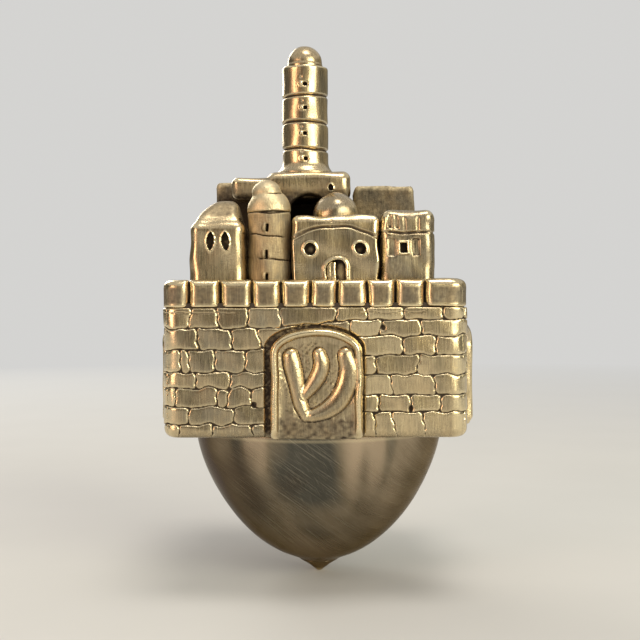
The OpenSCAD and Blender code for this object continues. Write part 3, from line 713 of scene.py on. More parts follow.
def gate_face(letter, seed):
    """Signed distance to a gate's outline and height of its face over the wall, on the casting's grid."""
    start, step = MARGIN * GATE_STEP, GATE_STEP
    u = (-GATE_W / 2 - start + step * np.arange(round(GATE_W / step) + 10))[:, None]
    v = (-start + step * np.arange(round(GATE_H / step) + 10))[None, :]
    wobble = [0.04 * sine_field((u, v, 0 * u), seed * 7 + i, 3.5) for i in range(2)]
    u, v = u + wobble[0], v + wobble[1]
    place = (u, v, 0 * u)
    outline = outline_distance(u, v, arch_outline(PLAQUE_HALF, PLAQUE_H, PLAQUE_BASE, GATE_FOOT_R))
    hood = -outline_distance(u, v, arch_outline(PLAQUE_HALF, PLAQUE_H, HOOD_BASE))
    border = np.sqrt(np.clip(1 - ((hood - BORDER_PLACE) / BORDER_HALF) ** 2, 0, 1))
    border = border * smoothstep(v, 0.0, 1.1)
    shoulder = 0.35 * smoothstep(hood, 1.5, 0.5)
    sag = 0.03 * sine_field(place, seed + 5, 3.0)
    grain = sine_field(place, seed + 9, 0.38, 16)
    patchy = 0.005 + 0.012 * smoothstep(sine_field(place, seed + 12, 2.4), -0.4, 1.2)
    field = FIELD_LEVEL - 0.06 + sag + patchy * grain * smoothstep(hood, 0.75, 1.1)
    top = field + FIELD_DROP * np.maximum(border, shoulder)
    for points in letter:
        body = stroke_distance(u, v, curved(points))
        depth = np.clip(-body / LETTER_ROUND, 0, 1)
        ridge = FIELD_LEVEL + LETTER_RISE * (1 - (1 - depth) ** 2) ** 0.75
        top = np.where(body < 0, np.maximum(top, ridge), top)
        top = top - 0.08 * np.exp(-np.maximum(body, 0) / 0.1) * (body >= 0)
    return outline, np.minimum(top, GATE_OUT)


def gate_mesh(letter, seed):
    """Gate plaque: a pillow-like border round a sunk field, the letter in round relief on it."""
    outline, top = gate_face(letter, seed)

    def shape(p):
        out = -p[1] - OUTER
        wide, tall = p[0].shape[0], p[0].shape[2]
        front = (out - top[:wide, None, :tall]) * 0.85
        return meet(meet(front, outline[:wide, None, :tall], 0.5), -out - RECESS + 0.03)

    low = (-GATE_W / 2, -OUTER - GATE_OUT, 0)
    high = (GATE_W / 2, -OUTER + RECESS, GATE_H)
    verts, faces, notes = casting(shape, low, high, GATE_STEP, warp=0)
    x, y, z = verts.T
    out = -y - OUTER
    low_down = smoothstep(z, 3.4, 1.6) * smoothstep(np.abs(x), 4.2, 3.7)
    mottled = 0.5 + 0.08 * sine_field(verts.T, seed + 15, 0.45, 20)
    flat = smoothstep(out, FIELD_LEVEL + 0.3, FIELD_LEVEL + 0.05)
    # The tops of the letter strokes are darkened: a painted dark reflection, with a little painted shade in
    # the grime.
    painted_crest_dark = smoothstep(out, GATE_OUT - 0.22, GATE_OUT - 0.04) * smoothstep(np.abs(x), 4.1, 3.9)
    painted_crest_dark = painted_crest_dark * smoothstep(z, GATE_H - 1.6, GATE_H - 1.9)
    notes["grime"] = np.maximum(notes["grime"], np.maximum(mottled * low_down * flat, 0.14 * painted_crest_dark))
    notes["tone"] = 0.65 - 0.4 * flat - 0.65 * painted_crest_dark - 0.2 * low_down * flat
    return moved((verts, faces, notes), GATE_SHIFT, 0, WALL_Z)


def build_gates(material):
    gates = (("gate_shin", SHIN), ("gate_hei", HEI), ("gate_gimel", GIMEL), ("gate_nun", NUN))
    for wall, (name, letter) in enumerate(gates):
        add_piece(name, turned(gate_mesh(letter, wall), wall), material, [name])


# Buildings, each with its front on -Y and its foot on z = 0: a function of points, and its bounds

# Where their rounded bodies begin, below the foot, so that the foot itself stays square
SUNK_Z = -1.3

HOUSE_ROOF = 2.5
LEAF_W, LEAF_H, LEAF_Z, LEAF_APART = 0.42, 1.05, 6.7, 0.84


def house(w, d, h):
    """House with a hipped roof and two pointed windows."""
    front, roof = -d / 2, HOUSE_ROOF
    slopes = (((0, front + 0.3, h), (0, -roof, d / 2.6)), ((0, d / 2, h), (0, roof, d / 4)),
              ((-w / 2 + 0.2, 0, h), (-roof, 0, w / 3)), ((w / 2 - 0.2, 0, h), (roof, 0, w / 7)))

    def shape(p):
        x, y, z = p
        body = block(p, (-w / 2, front, SUNK_Z), (w / 2, d / 2, h + 0.15), 1.1)
        hip = block(p, (-w / 2 + 0.3, front + 0.35, h - 1), (w / 2 - 0.3, d / 2 - 0.1, h + roof), 0.5)
        for point, normal in slopes:
            hip = meet(hip, plane(p, point, normal), 0.9)
        body = join(body, hip, 0.15)
        for side in (-1, 1):
            window = leaf(x - 0.14 - side * LEAF_APART, z - LEAF_Z, LEAF_W, LEAF_H)
            body = join(body, rim(window + 0.1, y, front, 0.2, 0.18), 0.12)
            body = carve(body, relief(window, y, front, 0.8), 0.06)
        return body

    return shape, (-w / 2, -d / 2 - 0.2, 0), (w / 2, d / 2, h + roof)


KNOB_X = -0.3
KNOB_RISE = 2.0
GROOVE_STEP = 2.5
SLIT_DROPS = (1.75, 4.6, 7.0)


def minaret(r, h, knob_r):
    """Round tower with worn ring grooves and slits, and a domed shoulder that carries a knob."""
    def shape(p):
        x, y, z = p
        rho = np.hypot(x, y)
        round_z = np.arctan2(y, x)
        body = drum(p, r - 0.06 + 0.05 * np.sin(5 * round_z + z), -0.4, h + 0.3, 0.12)
        shoulder = ball(p, (0, 0, h + 0.2), r - 0.02, 1.05)
        knob = ball(p, (KNOB_X, 0, h + KNOB_RISE), knob_r, 0.95)
        seam = np.hypot(np.hypot(x - KNOB_X, y) - knob_r - 0.08, z - h - 1.95) - 0.11
        body = carve(join(join(body, shoulder, 0.15), knob, 0.1), seam, 0.08)
        crease = np.cos(np.clip(2.2 * (round_z + 1.4), -math.pi / 2, math.pi / 2))
        body = carve(body, np.maximum(np.abs(z - h + 0.1) - 0.05 - 0.14 * crease, r - 0.3 - rho), 0.08)
        for i in range(1, 4):
            level = h - 0.1 - i * GROOVE_STEP - 0.22 * x / r + 0.05 * np.sin(5 * round_z + i)
            worn = 0.2 + 0.12 * np.sin(2 * round_z - 1.3 * i) + 0.06 * np.sin(7 * round_z + i)
            body = carve(body, np.maximum(np.abs(z - level) - 0.06, r - worn - rho), 0.06)
        for drop in SLIT_DROPS:
            level = h - drop
            window = np.maximum(np.abs(x + 0.2) - 0.14, np.abs(z - level) - 0.42)
            pebble = np.hypot(np.hypot(x + 0.52, y + r - 0.08), (z - level) * 0.5) - 0.24
            body = carve(join(body, pebble, 0.12), relief(window, y, -r, 0.8), 0.05)
        return body

    return shape, (-r, -r - 0.15, 0), (r, r, h + KNOB_RISE + knob_r)


EYE_R, EYE_Z = 0.6, 5.8
DOOR_W = 2.4
PANEL_RISE = 1.25


def hall(size, eyes, door_h):
    """Hall with an arched panel, two round windows eyes from the middle, and a planked door."""
    w, d, h = size
    front = -d / 2
    reach = w / 2 - 0.05
    radius = (reach ** 2 + PANEL_RISE ** 2) / (2 * PANEL_RISE)
    crown = h - 1.2

    def shape(p):
        x, y, z = p
        body = block(p, (-w / 2, front, SUNK_Z), (w / 2, d / 2, h), 0.7)
        bow = np.hypot(x, z - crown + radius) - radius
        panel = np.maximum(bow + 0.1, np.abs(x) - w / 2 + 0.15)
        raised = meet(relief(panel, y, front - 0.1, 0.4), front - 0.12 - y, 0.2)
        body = join(body, raised, 0.1)
        body = carve(body, np.hypot(bow - 0.04, (y - front + 0.08) * 0.7) - 0.17, 0.05)
        body = meet(body, plane(p, (0, front, h - 0.5), (0, -0.8, 0.6)), 0.3)
        for side in (-1, 1):
            eye = np.hypot(x - side * eyes, z - EYE_Z) - EYE_R
            body = join(body, rim(eye - 0.08, y, front - 0.1, 0.17, 0.16), 0.1)
            body = carve(body, relief(eye, y, front - 0.2, 1.2), 0.05)
        door = arch(x - 0.13, z, DOOR_W / 2 - 0.15, door_h - 0.15)
        body = join(body, rim(door - 0.08, y, front - 0.1, 0.24, 0.2), 0.12)
        body = carve(body, relief(door, y, front - 0.2, 1.3), 0.06)
        planks = block(p, (-0.85, front + 0.15, -0.3), (0.12, front + 2, door_h - 0.35), 0.1)
        body = join(body, planks, 0.03)
        body = carve(body, np.hypot(x + 0.38, (y - front - 0.15) * 1.3) - 0.07, 0.04)
        return join(body, ball(p, (0.32, front + 0.75, door_h - 2.6), 0.3), 0.08)

    return shape, (-w / 2, front - 0.25, 0), (w / 2, d / 2, h)


DOME_H = 2.9


def dome(r):
    """Pointed dome on a low drum."""
    def shape(p):
        low = 0.3
        mound = ball(p, (0, 0, low), r * 1.05, (DOME_H - 0.2 - low) / (r * 1.05))
        crown = ball(p, (0, 0, DOME_H - 1.3), 1.0)
        return join(join(mound, crown, 0.8), drum(p, r, -0.35, low, 0.1), 0.1)

    return shape, (-r, -r, -0.2), (r, r, DOME_H)


# Parts of a keep's front: (from, to, depth) of the band's notches and of the panels, and the panels' heights
KEEP_BAND = 2.4
KEEP_GROOVES = (-1.55, -0.3, 1.08)
KEEP_NOTCHES = ((-2.05, -1.65, 0.22), (-1.45, -0.95, 0.16))
KEEP_PANELS = ((-2.2, -1.3, 0.22), (0.55, 1.25, 0.22))
PANEL_LOW, PANEL_HIGH = 5.0, 6.9


def keep(w, d, h):
    """Keep with an upper band of upright grooves and a stepped square window."""
    front, band = -d / 2, KEEP_BAND
    sunk = [(spot, h - band + 0.4, h - 0.5, 0.15) for spot in KEEP_NOTCHES]
    sunk += [(spot, PANEL_LOW, PANEL_HIGH, 0.12) for spot in KEEP_PANELS]

    def shape(p):
        x, y, z = p
        body = block(p, (-w / 2 + 0.04, front + 0.04, SUNK_Z), (w / 2 - 0.04, d / 2 - 0.04, h - 0.4), 1.15)
        trunk = block(p, (-w / 2, front - 0.02, -3), (w / 2, d / 2, h), 1.15)
        body = join(body, meet(trunk, h - band - z, 0.2), 0.03)
        line = np.hypot(z - h + band, np.maximum(np.abs(x) - w / 2, np.abs(y) + front) * 0.8) - 0.16
        body = carve(body, line, 0.05)
        for place in KEEP_GROOVES:
            cut = np.maximum(np.hypot(x - place, (y - front) * 1.3) - 0.13, h - band - z)
            body = carve(body, cut, 0.06)
        for (west, east, depth), low, high, edge in sunk:
            body = carve(body, block(p, (west, front - 1, low), (east, front + depth, high), edge), 0.08)
        pane = np.maximum(np.abs(x + 0.4) - 0.4, np.abs(z - 5.95) - 0.55)
        body = join(body, rim(pane - 0.08, y, front, 0.16, 0.16), 0.08)
        return carve(body, relief(pane, y, front - 0.3, 1.2), 0.05)

    return shape, (-w / 2, front - 0.1, 0), (w / 2, d / 2, h)


def flat_house(w, d, h):
    """Flat-roofed house with a thin raised rim round its sunk roof."""
    border = 0.42

    def shape(p):
        x, y, z = p
        body = block(p, (-w / 2, -d / 2, SUNK_Z), (w / 2, d / 2, h), 0.7)
        inner_w, inner_d = w / 2 - border, d / 2 - border
        sunk = block(p, (-inner_w, -inner_d, h - 0.45), (inner_w, inner_d, h + 2), 0.3)
        body = carve(body, sunk, 0.12)
        line = np.hypot(z - h + border, np.maximum(np.abs(x) - w / 2, np.abs(y) - d / 2) * 1.2) - 0.1
        body = carve(body, line, 0.12)
        window = arch(x, z - h / 2, 0.45, 2.1)
        body = join(body, rim(window, y, -d / 2, 0.15, 0.14), 0.1)
        return carve(body, np.maximum(relief(window, y, -d / 2, 0.5), h / 2 - z), 0.05)

    return shape, (-w / 2, -d / 2 - 0.2, 0), (w / 2, d / 2, h)


CITADEL_W = 9.5
SLAB_T = 2.85
ARM_LOW, ARM_HIGH, ARM_REACH, ARM_D = 11.85, 14.5, 4.0, 4.2
VAULT_HALF, VAULT_H = 2.3, 12.9


def citadel(d):
    """Tall block with a vault in front and a flat arm out to its left."""
    w, h = CITADEL_W, CITADEL_H
    front = -d / 2

    def shape(p):
        x, y, z = p
        lower = block(p, (-w / 2 + 0.25, front + 0.25, -0.3), (w / 2 - 0.25, d / 2 - 0.25, h - 0.5), 0.45)
        slab = block(p, (-w / 2, front, h - SLAB_T), (w / 2, d / 2, h), 0.95)
        arm = block(p, (-w / 2 - ARM_REACH, front, ARM_LOW), (-w / 2 + 1.2, front + ARM_D, ARM_HIGH), 0.8)
        body = join(join(lower, slab, 0.3), arm, 0.35)
        vault = np.maximum(arch(x, z + 0.3, VAULT_HALF, VAULT_H), y - front - 3)
        hollow = block(p, (-w / 2 + 1.5, front + 1.4, -2), (w / 2 - 1.5, d / 2 - 1.4, h - 2.9), 0.3)
        body = carve(carve(body, hollow), vault, 0.25)
        up = z - h + 1.95
        window = np.hypot((x - 2.5) * 1.1, np.maximum(up, 0) * 0.7 + np.minimum(up, 0)) - 0.32
        body = join(body, rim(window, y, front, 0.12, 0.1), 0.1)
        return carve(body, relief(window, y, front, 0.6), 0.05)

    return shape, (-w / 2 - ARM_REACH, front - 0.12, 0), (w / 2, d / 2, h)


SHAFT_H = 12.7
SHAFT_FOOT_R = 3.3
RING_DROPS = (3.5, 6.7, 9.75)
PORT_DROPS = (2.3, 5.05, 8.05, 10.9)


def shaft():
    """Handle tower: a round shaft in rings, with a flared foot and small round windows."""
    r, h = TOWER_R, SHAFT_H

    def shape(p):
        x, y, z = p
        rho = np.hypot(x, y)
        body = drum(p, r, -0.4, h - 0.02, 0.25)
        body = join(body, drum(p, SHAFT_FOOT_R - 0.15, -0.4, 0.35, 0.18), 1.4)
        for i, drop in enumerate(RING_DROPS):
            level = h - drop + 0.09 * np.sin(np.arctan2(y, x) + 1.1 + 2 * i)
            body = carve(body, np.maximum(np.abs(z - level) - 0.07, r - 0.24 - rho), 0.3)
        for drop in PORT_DROPS:
            level = h - drop
            window = np.hypot(x - 0.12, z - level) - 0.24
            body = join(body, ball(p, (-0.28, -r + 0.12, level), 0.3), 0.12)
            body = carve(body, relief(window, y, -r - 0.2, 0.9), 0.06)
            body = carve(body, ball(p, (-0.3, -r - 0.05, level + 0.8), 0.17), 0.08)
        return body

    return shape, (-SHAFT_FOOT_R, -SHAFT_FOOT_R, 0), (SHAFT_FOOT_R, SHAFT_FOOT_R, h)


CAP_R, CAP_H = 2.1, 2.58


def cap():
    """Low pointed dome on the handle tower."""
    def shape(p):
        rho = np.hypot(p[0], p[1])
        profile = np.hypot(rho + 0.35, (p[2] - 0.35) * 1.02) - (CAP_R + 0.33)
        body = meet(profile, rho - CAP_R, 0.3)
        body = join(body, drum(p, CAP_R - 0.02, -0.35, 0.4, 0.15), 0.1)
        return meet(body, p[2] - CAP_H, 0.15)

    return shape, (-CAP_R, -CAP_R, -0.25), (CAP_R, CAP_R, CAP_H)


# Heights over and under every building, and the height of the painted shade at the foot of most of them
OVER_ALL, UNDER_ALL = 99.0, -9.0
FOOT_SHADE = 1.6

# The city: how each building's shape comes from its node's size, how it is placed and worn, and where shade
# is painted on it.
# Heights are over the building's foot, base is how high that is over the deck, and nudge is how much further
# right than its node the building stands. Turn is in quarter turns.
CITY = {
    "left_house": dict(make=lambda w, d, h: house(w, d, 8.8), seed=100, nudge=0.25, dim_above=9.0, tone=0.7),
    "domed_hall": dict(make=lambda *size: hall(size, 2.65, 4.9), seed=101, nudge=0.25, tone=0.35),
    "right_keep": dict(make=keep, seed=102, nudge=0.12, dim_above=UNDER_ALL, dim=0.16, tone=0.0),
    "side_house_right": dict(make=flat_house, seed=103, shade_below=4.0, dim_above=8.0, tone=0.1),
    "side_house_left": dict(make=flat_house, seed=104, shade_below=12.6, dim_above=8.0, tone=0.1),
    "rear_keep": dict(make=keep, seed=105, turn=2, dim_above=UNDER_ALL, dim=0.16),
    "rear_hall": dict(make=lambda *size: hall(size, 2.4, 4.7), seed=106, turn=2),
    "rear_house": dict(make=lambda w, d, h: house(w, d, 8.4), seed=107, turn=2, dim_above=8.6),
    "round_tower": dict(make=lambda w, d, h: minaret(w / 2, 9.9, 1.55), seed=120, nudge=0.3, warp=0.04,
                        shade_below=UNDER_ALL, worn_above=9.9, tone=0.25),
    "rear_round_tower": dict(make=lambda w, d, h: minaret(w / 2, 9.3, 1.5), seed=122, turn=2, warp=0.04,
                             shade_below=UNDER_ALL, worn_above=9.3, tone=0.25),
    "hall_dome": dict(make=lambda w, d, h: dome(w / 2), base=9.4, seed=130, nudge=0.3, warp=0.04,
                      shade_below=UNDER_ALL, tone=0.2),
    "rear_dome": dict(make=lambda w, d, h: dome(w / 2), base=8.9, seed=132, turn=2, warp=0.04,
                      shade_below=UNDER_ALL, tone=0.2),
    "citadel": dict(make=lambda w, d, h: citadel(d), seed=140, x=CITADEL_X, step=0.115, shade_below=13.6,
                    hollow=True),
    "tower_shaft": dict(make=lambda w, d, h: shaft(), base=CITADEL_H, seed=150, x=TOWER_X, warp=0.03,
                        step=0.11, shade_below=UNDER_ALL),
    "tower_cap": dict(make=lambda w, d, h: cap(), base=CITADEL_H + SHAFT_H, seed=151, x=TOWER_X, warp=0.02,
                      step=0.09, shade_below=UNDER_ALL),
}
GRAINY = ("side_house_right", "side_house_left", "round_tower", "rear_round_tower")


def add_building(name, material, make, seed, x=None, base=0.0, nudge=0.0, turn=0, warp=0.05,
                 step=CASTING_STEP, shade_below=FOOT_SHADE, dim_above=OVER_ALL, dim=0.42,
                 worn_above=UNDER_ALL, tone=0.5, hollow=False):
    """Meshes a building, with painted shade low down and between its neighbours, and painted shade over
    dim_above, as on a roof.
    """
    low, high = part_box(name)
    low, high = np.array(low) / MM, np.array(high) / MM
    centre = (low + high) / 2
    x, y = (centre[0] + nudge, centre[1]) if x is None else (x, 0)
    shape, shape_low, shape_high = make(*(high - low))
    verts, faces, notes = casting(shape, shape_low, shape_high, step, warp, seed)
    across, depth, z = np.abs(verts[:, 0]), verts[:, 1] - verts[:, 1].min(), verts[:, 2]
    # Painted shade below shade_below; for the tall ones only on the front face, and for a hollow building
    # also inside it.
    shade = smoothstep(z, shade_below + 1.0, shade_below - 2.5)
    if shade_below > 3:
        inside = smoothstep(across, 3.9, 3.4) * hollow
        shade = shade * np.maximum(smoothstep(depth, 1.0, 0.4), inside)
    notes["grime"] = np.maximum(notes["grime"], 0.9 * shade)
    # Painted shade over dim_above, on roofs or on a whole building.
    notes["grime"] += dim * smoothstep(z, dim_above, dim_above + 0.6)
    polished = smoothstep(z, worn_above - 0.4, worn_above)
    notes["wear"] = np.maximum(notes["wear"], 0.5 * (worn_above > 0)) * polished
    notes["tone"] = tone + 0.2 * sine_field(verts.T, seed + 3, 4.0)
    mesh = moved(turned((verts, faces, notes), turn), x, y, DECK_Z + base)
    add_piece(name, mesh, material, [name])


def build_city(plain, grainy):
    for name, building in CITY.items():
        add_building(name, grainy if name in GRAINY else plain, **building)


# Bowl and tip

BOWL_TOP = WALL_Z - 0.03
BOWL_ROWS, BOWL_FIRST = 96, 17
BOWL_BEND = 1.55
# Profiles as (radius, height): the bowl's neck over TIP_Z, and the tip
NECK = [(2.2, 0.05), (2.3, 0.0), (2.32, 0.013), (2.5, 0.13), (2.72, 0.26), (2.95, 0.38), (3.2, 0.49)]
TIP = [(0.05, 0.0), (0.22, 0.04), (0.42, 0.16), (0.75, 0.42), (1.2, 0.78), (1.66, 1.08), (2.05, 1.32),
       (2.32, 1.5)]
TIP_TOP = [(2.3, 1.487), (2.32, 1.5), (2.0, 1.56)]

# Painted reflections on the bowl, as light and dark smears: (degrees to the right of the front, height, half
# width in degrees, half height, how much lighter, how much browner)
BOWL_PAINTED_REFLECTIONS = [
    (-3, 14.6, 14, 7.0, -0.65, 0.0), (-26, 17.0, 7, 5.5, 0.42, 0.0), (16, 17.0, 7, 6.0, 0.48, 0.0),
    (-37, 17.5, 4, 4.0, -0.4, 0.0), (27, 17.0, 5, 5.0, 0.32, 0.0), (34, 17.0, 3, 4.5, -0.3, 0.0),
    (42, 15.0, 8, 6.0, 0.1, 0.0), (-78, 10.0, 40, 14.0, -0.1, 1.0), (66, 9.0, 26, 12.0, 0.0, 0.5),
    (92, 14.0, 16, 6.0, -0.4, 0.2), (114, 15.0, 10, 7.0, 0.25, 0.0), (150, 10.0, 22, 9.0, -0.25, 0.35),
    (182, 15.0, 16, 6.0, -0.5, 0.0), (206, 16.0, 10, 7.0, 0.25, 0.0), (238, 9.0, 24, 9.0, 0.0, 0.45),
    (268, 15.0, 14, 6.0, -0.3, 0.3),
]


def lathe(points, turns, seed, dent):
    """Turned shell from (radius, height) points, with slight dents."""
    r, z = np.array(points).T[:, :, None]
    a = np.linspace(0, 2 * math.pi, turns, endpoint=False)
    x, y, zz = r * np.cos(a), r * np.sin(a), z + 0 * a
    push = 1 + dent * sine_field((x, y, zz), seed, 7.0) / np.maximum(np.hypot(r, 3), 1)
    v = np.stack([x * push, y * push, zz], -1).reshape(-1, 3)
    grid = np.arange(len(v)).reshape(zz.shape)
    quads = grid_quads(np.concatenate([grid, grid[:, :1]], 1))
    notes = {"wear": np.zeros(len(v)), "grime": np.zeros(len(v)), "tone": np.full(len(v), 0.5)}
    return (v, quads, notes), [grid[0][::-1], grid[-1]]


def build_bowl(material):
    points = [(r, TIP_Z + h) for r, h in NECK]
    for i in range(BOWL_FIRST, BOWL_ROWS + 1):
        share = 1 - math.cos(math.pi / 2 * i / BOWL_ROWS)
        r = BOWL_R * math.sqrt(1 - (1 - share) ** BOWL_BEND)
        points.append((r, TIP_Z + (BOWL_TOP - TIP_Z) * share))
    mesh, caps = lathe(points, 288, 5, 0.02)
    x, y, z = mesh[0].T
    azimuth = np.degrees(np.arctan2(x, -y))
    tone = 0.5 + 0.07 * sine_field(mesh[0].T, 31, 8.0)
    # Painted shadow along the rim under the walls, and darker towards the bottom.
    rim_grime = smoothstep(z, BOWL_TOP - 0.35, BOWL_TOP - 0.1)
    grime = np.maximum(0.5 * rim_grime, 0.3 * smoothstep(z, 9.0, 2.5))
    # Painted reflections: light and dark bands round the bowl, some darkened in brown.
    for centre, height, half_w, half_h, lighter, browner in BOWL_PAINTED_REFLECTIONS:
        across = (azimuth - centre + 180) % 360 - 180
        wavy = 1 + 0.14 * sine_field(mesh[0].T, 40 + abs(centre), 5.0)
        reflection_smear = smoothstep(np.hypot(across / half_w, (z - height) / half_h) * wavy, 1.45, 0.35)
        tone = tone + lighter * reflection_smear
        grime = np.maximum(grime, browner * reflection_smear)
    # A painted highlight line just under the rim.
    mesh[2].update(tone=np.clip(tone, 0, 1), grime=grime,
                   wear=0.4 * smoothstep(np.abs(z - BOWL_TOP + 0.55), 0.25, 0.12))
    add_piece("bowl", mesh, material, ["bowl"], caps)


def build_tip(material):
    points = []
    for a, b in zip(np.array(TIP[:-1]), np.array(TIP[1:])):
        points += [a + (b - a) * k / 4 for k in range(4)]
    mesh, caps = lathe(points + TIP_TOP, 128, 6, 0.0)
    mesh[2]["wear"] = smoothstep(mesh[0][:, 2], 0.6, 0.0)
    add_piece("spin_point", mesh, material, ["spin_point"], caps)


# Materials

class Graph:
    """Short hand for the nodes of a material or of the world."""

    def __init__(self, owner):
        self.owner = owner
        owner.use_nodes = True
        self.tree = owner.node_tree
        self.tree.nodes.clear()

    @cached_property
    def place(self):
        return self.add("ShaderNodeTexCoord").outputs["Object"]

    def add(self, kind, inputs=None, **settings):
        node = self.tree.nodes.new(kind)
        for key, value in settings.items():
            setattr(node, key, value)
        for key, value in (inputs or {}).items():
            if isinstance(value, bpy.types.NodeSocket):
                self.tree.links.new(value, node.inputs[key])
            else:
                node.inputs[key].default_value = value
        return node

    def note(self, name):
        return self.add("ShaderNodeAttribute", attribute_name=name).outputs["Fac"]

    def swirl(self, amount, scale):
        """Place bent by up to amount mm, in features of 1 / scale mm."""
        wave = self.add("ShaderNodeTexNoise", {"Vector": self.place, "Scale": scale / MM, "Detail": 0.0})
        centred = self.add("ShaderNodeVectorMath", {0: wave.outputs["Color"], 1: (0.5, 0.5, 0.5)},
                           operation="SUBTRACT").outputs[0]
        push = self.add("ShaderNodeVectorMath", {0: centred, "Scale": 2 * amount * MM},
                        operation="SCALE").outputs[0]
        return self.add("ShaderNodeVectorMath", {0: self.place, 1: push}, operation="ADD").outputs[0]

    def noise(self, scale, detail, rough, turn=(0, 0, 0), place=None):
        """Noise with features of 1 / scale mm along each axis."""
        place = self.add("ShaderNodeMapping", {
            "Vector": place or self.place, "Rotation": turn, "Scale": tuple(MM / k for k in scale)},
            vector_type="TEXTURE").outputs[0]
        return self.add("ShaderNodeTexNoise", {
            "Vector": place, "Scale": 1.0, "Detail": detail, "Roughness": rough}).outputs["Fac"]

    def span(self, value, low, high, to_low=0.0, to_high=1.0):
        ends = {"From Min": low, "From Max": high, "To Min": to_low, "To Max": to_high}
        return self.add("ShaderNodeMapRange", {"Value": value, **ends}).outputs[0]

    def sum(self, a, b, kind="ADD"):
        return self.add("ShaderNodeMath", {0: a, 1: b}, operation=kind).outputs[0]

    def blend(self, share, a, b):
        return self.add("ShaderNodeMix", {0: share, 6: a, 7: b}, data_type="RGBA").outputs[2]

    def coated(self, body, *coats):
        """Colours laid over a body, each up to its share as its value goes from low to high."""
        for value, low, high, share, colour in coats:
            body = self.blend(self.span(value, low, high, 0.0, share), body, colour)
        return body

    def bump(self, height, distance, under=None):
        inputs = {"Height": height, "Distance": distance * MM, "Strength": 1.0}
        if under is not None:
            inputs["Normal"] = under
        return self.add("ShaderNodeBump", inputs).outputs[0]

    def glow(self, colour):
        return self.add("ShaderNodeEmission", {"Color": colour, "Strength": 1.0}).outputs[0]

    def show(self, shader):
        """The material, once it has this shader on its surface."""
        self.add("ShaderNodeOutputMaterial", {"Surface": shader})
        return self.owner

    def finish(self, **inputs):
        sockets = {key.replace("_", " "): value for key, value in inputs.items()}
        return self.show(self.add("ShaderNodeBsdfPrincipled", sockets).outputs[0])


def new_graph(name):
    return Graph(bpy.data.materials.new(name))


# Cast silver
BRIGHT = (0.92, 0.775, 0.49, 1)
BODY = (0.64, 0.49, 0.28, 1)
TARNISH = (0.235, 0.192, 0.13, 1)
GREYED = (0.24, 0.225, 0.18, 1)
# Colour of the patina in grooves, and of the painted shade
PATINA_AND_SHADE = (0.040, 0.025, 0.013, 1)

# Satin silver of the bowl
SATIN = (0.29, 0.237, 0.162, 1)
SATIN_DEEP = (0.19, 0.152, 0.10, 1)
# Colours of the painted dark and light reflections on the bowl
SATIN_REFLECTED_DARK = (0.082, 0.082, 0.070, 1)
SATIN_REFLECTED_LIGHT = (0.60, 0.465, 0.32, 1)
SATIN_SCRATCH = (0.46, 0.41, 0.315, 1)
SATIN_SPECULAR = (0.5, 0.42, 0.32, 1)

# Oxidised silver
OXIDE_DARK = (0.09, 0.065, 0.04, 1)
OXIDE_LIGHT = (0.24, 0.185, 0.12, 1)


def silver(name, rough, grain, scratch, tarnish):
    """Warm silver, polished where it stands out, dark with patina in its grooves, and with painted shade and
    painted highlights where its notes carry them.
    """
    g = new_graph(name)
    wear, grime, tone = g.note("wear"), g.note("grime"), g.note("tone")
    cloud = g.noise((0.5, 0.5, 0.3), 4, 0.6)
    spots = g.noise((2.2, 2.2, 2.2), 5, 0.65)
    scratches = g.noise((8, 8, 0.45), 4, 0.7)
    grains = g.noise((6, 6, 6), 2, 0.5)
    dull = g.blend(g.span(cloud, 0.42, 0.58), TARNISH, GREYED)
    # Tone also carries painted light and shade: wall halves, merlon cores and letter crests.
    body = g.coated(BODY, (cloud, 0.35, 0.68, tarnish, TARNISH), (tone, 0.5, 0.0, 0.6, dull),
                    (tone, 0.5, 1.0, 0.35, BRIGHT), (spots, 0.55, 0.75, 0.35, TARNISH),
                    (scratches, 0.5, 0.75, 0.5, BRIGHT), (scratches, 0.5, 0.3, 0.5, TARNISH))
    body = g.blend(wear, body, BRIGHT)
    dirt_and_shade = g.sum(grime, g.span(spots, 0.3, 0.7, -0.15, 0.15))
    dirt_and_shade = g.span(dirt_and_shade, 0.12, 0.75)
    colour = g.blend(dirt_and_shade, body, PATINA_AND_SHADE)
    roughness = g.span(cloud, 0.3, 0.7, rough - 0.05, rough + 0.06)
    roughness = g.sum(roughness, g.span(scratches, 0.3, 0.7, -0.03, 0.05))
    roughness = g.sum(roughness, g.span(wear, 0, 1, 0.0, -0.6 * rough))
    roughness = g.sum(roughness, g.span(dirt_and_shade, 0, 1, 0.0, 0.4))
    normal = g.bump(grains, 0.02 * grain, under=g.bump(scratches, 0.012 * scratch))
    metallic = g.span(dirt_and_shade, 0, 1, 1.0, 0.35)
    return g.finish(Base_Color=colour, Metallic=metallic, Roughness=roughness, Normal=normal)


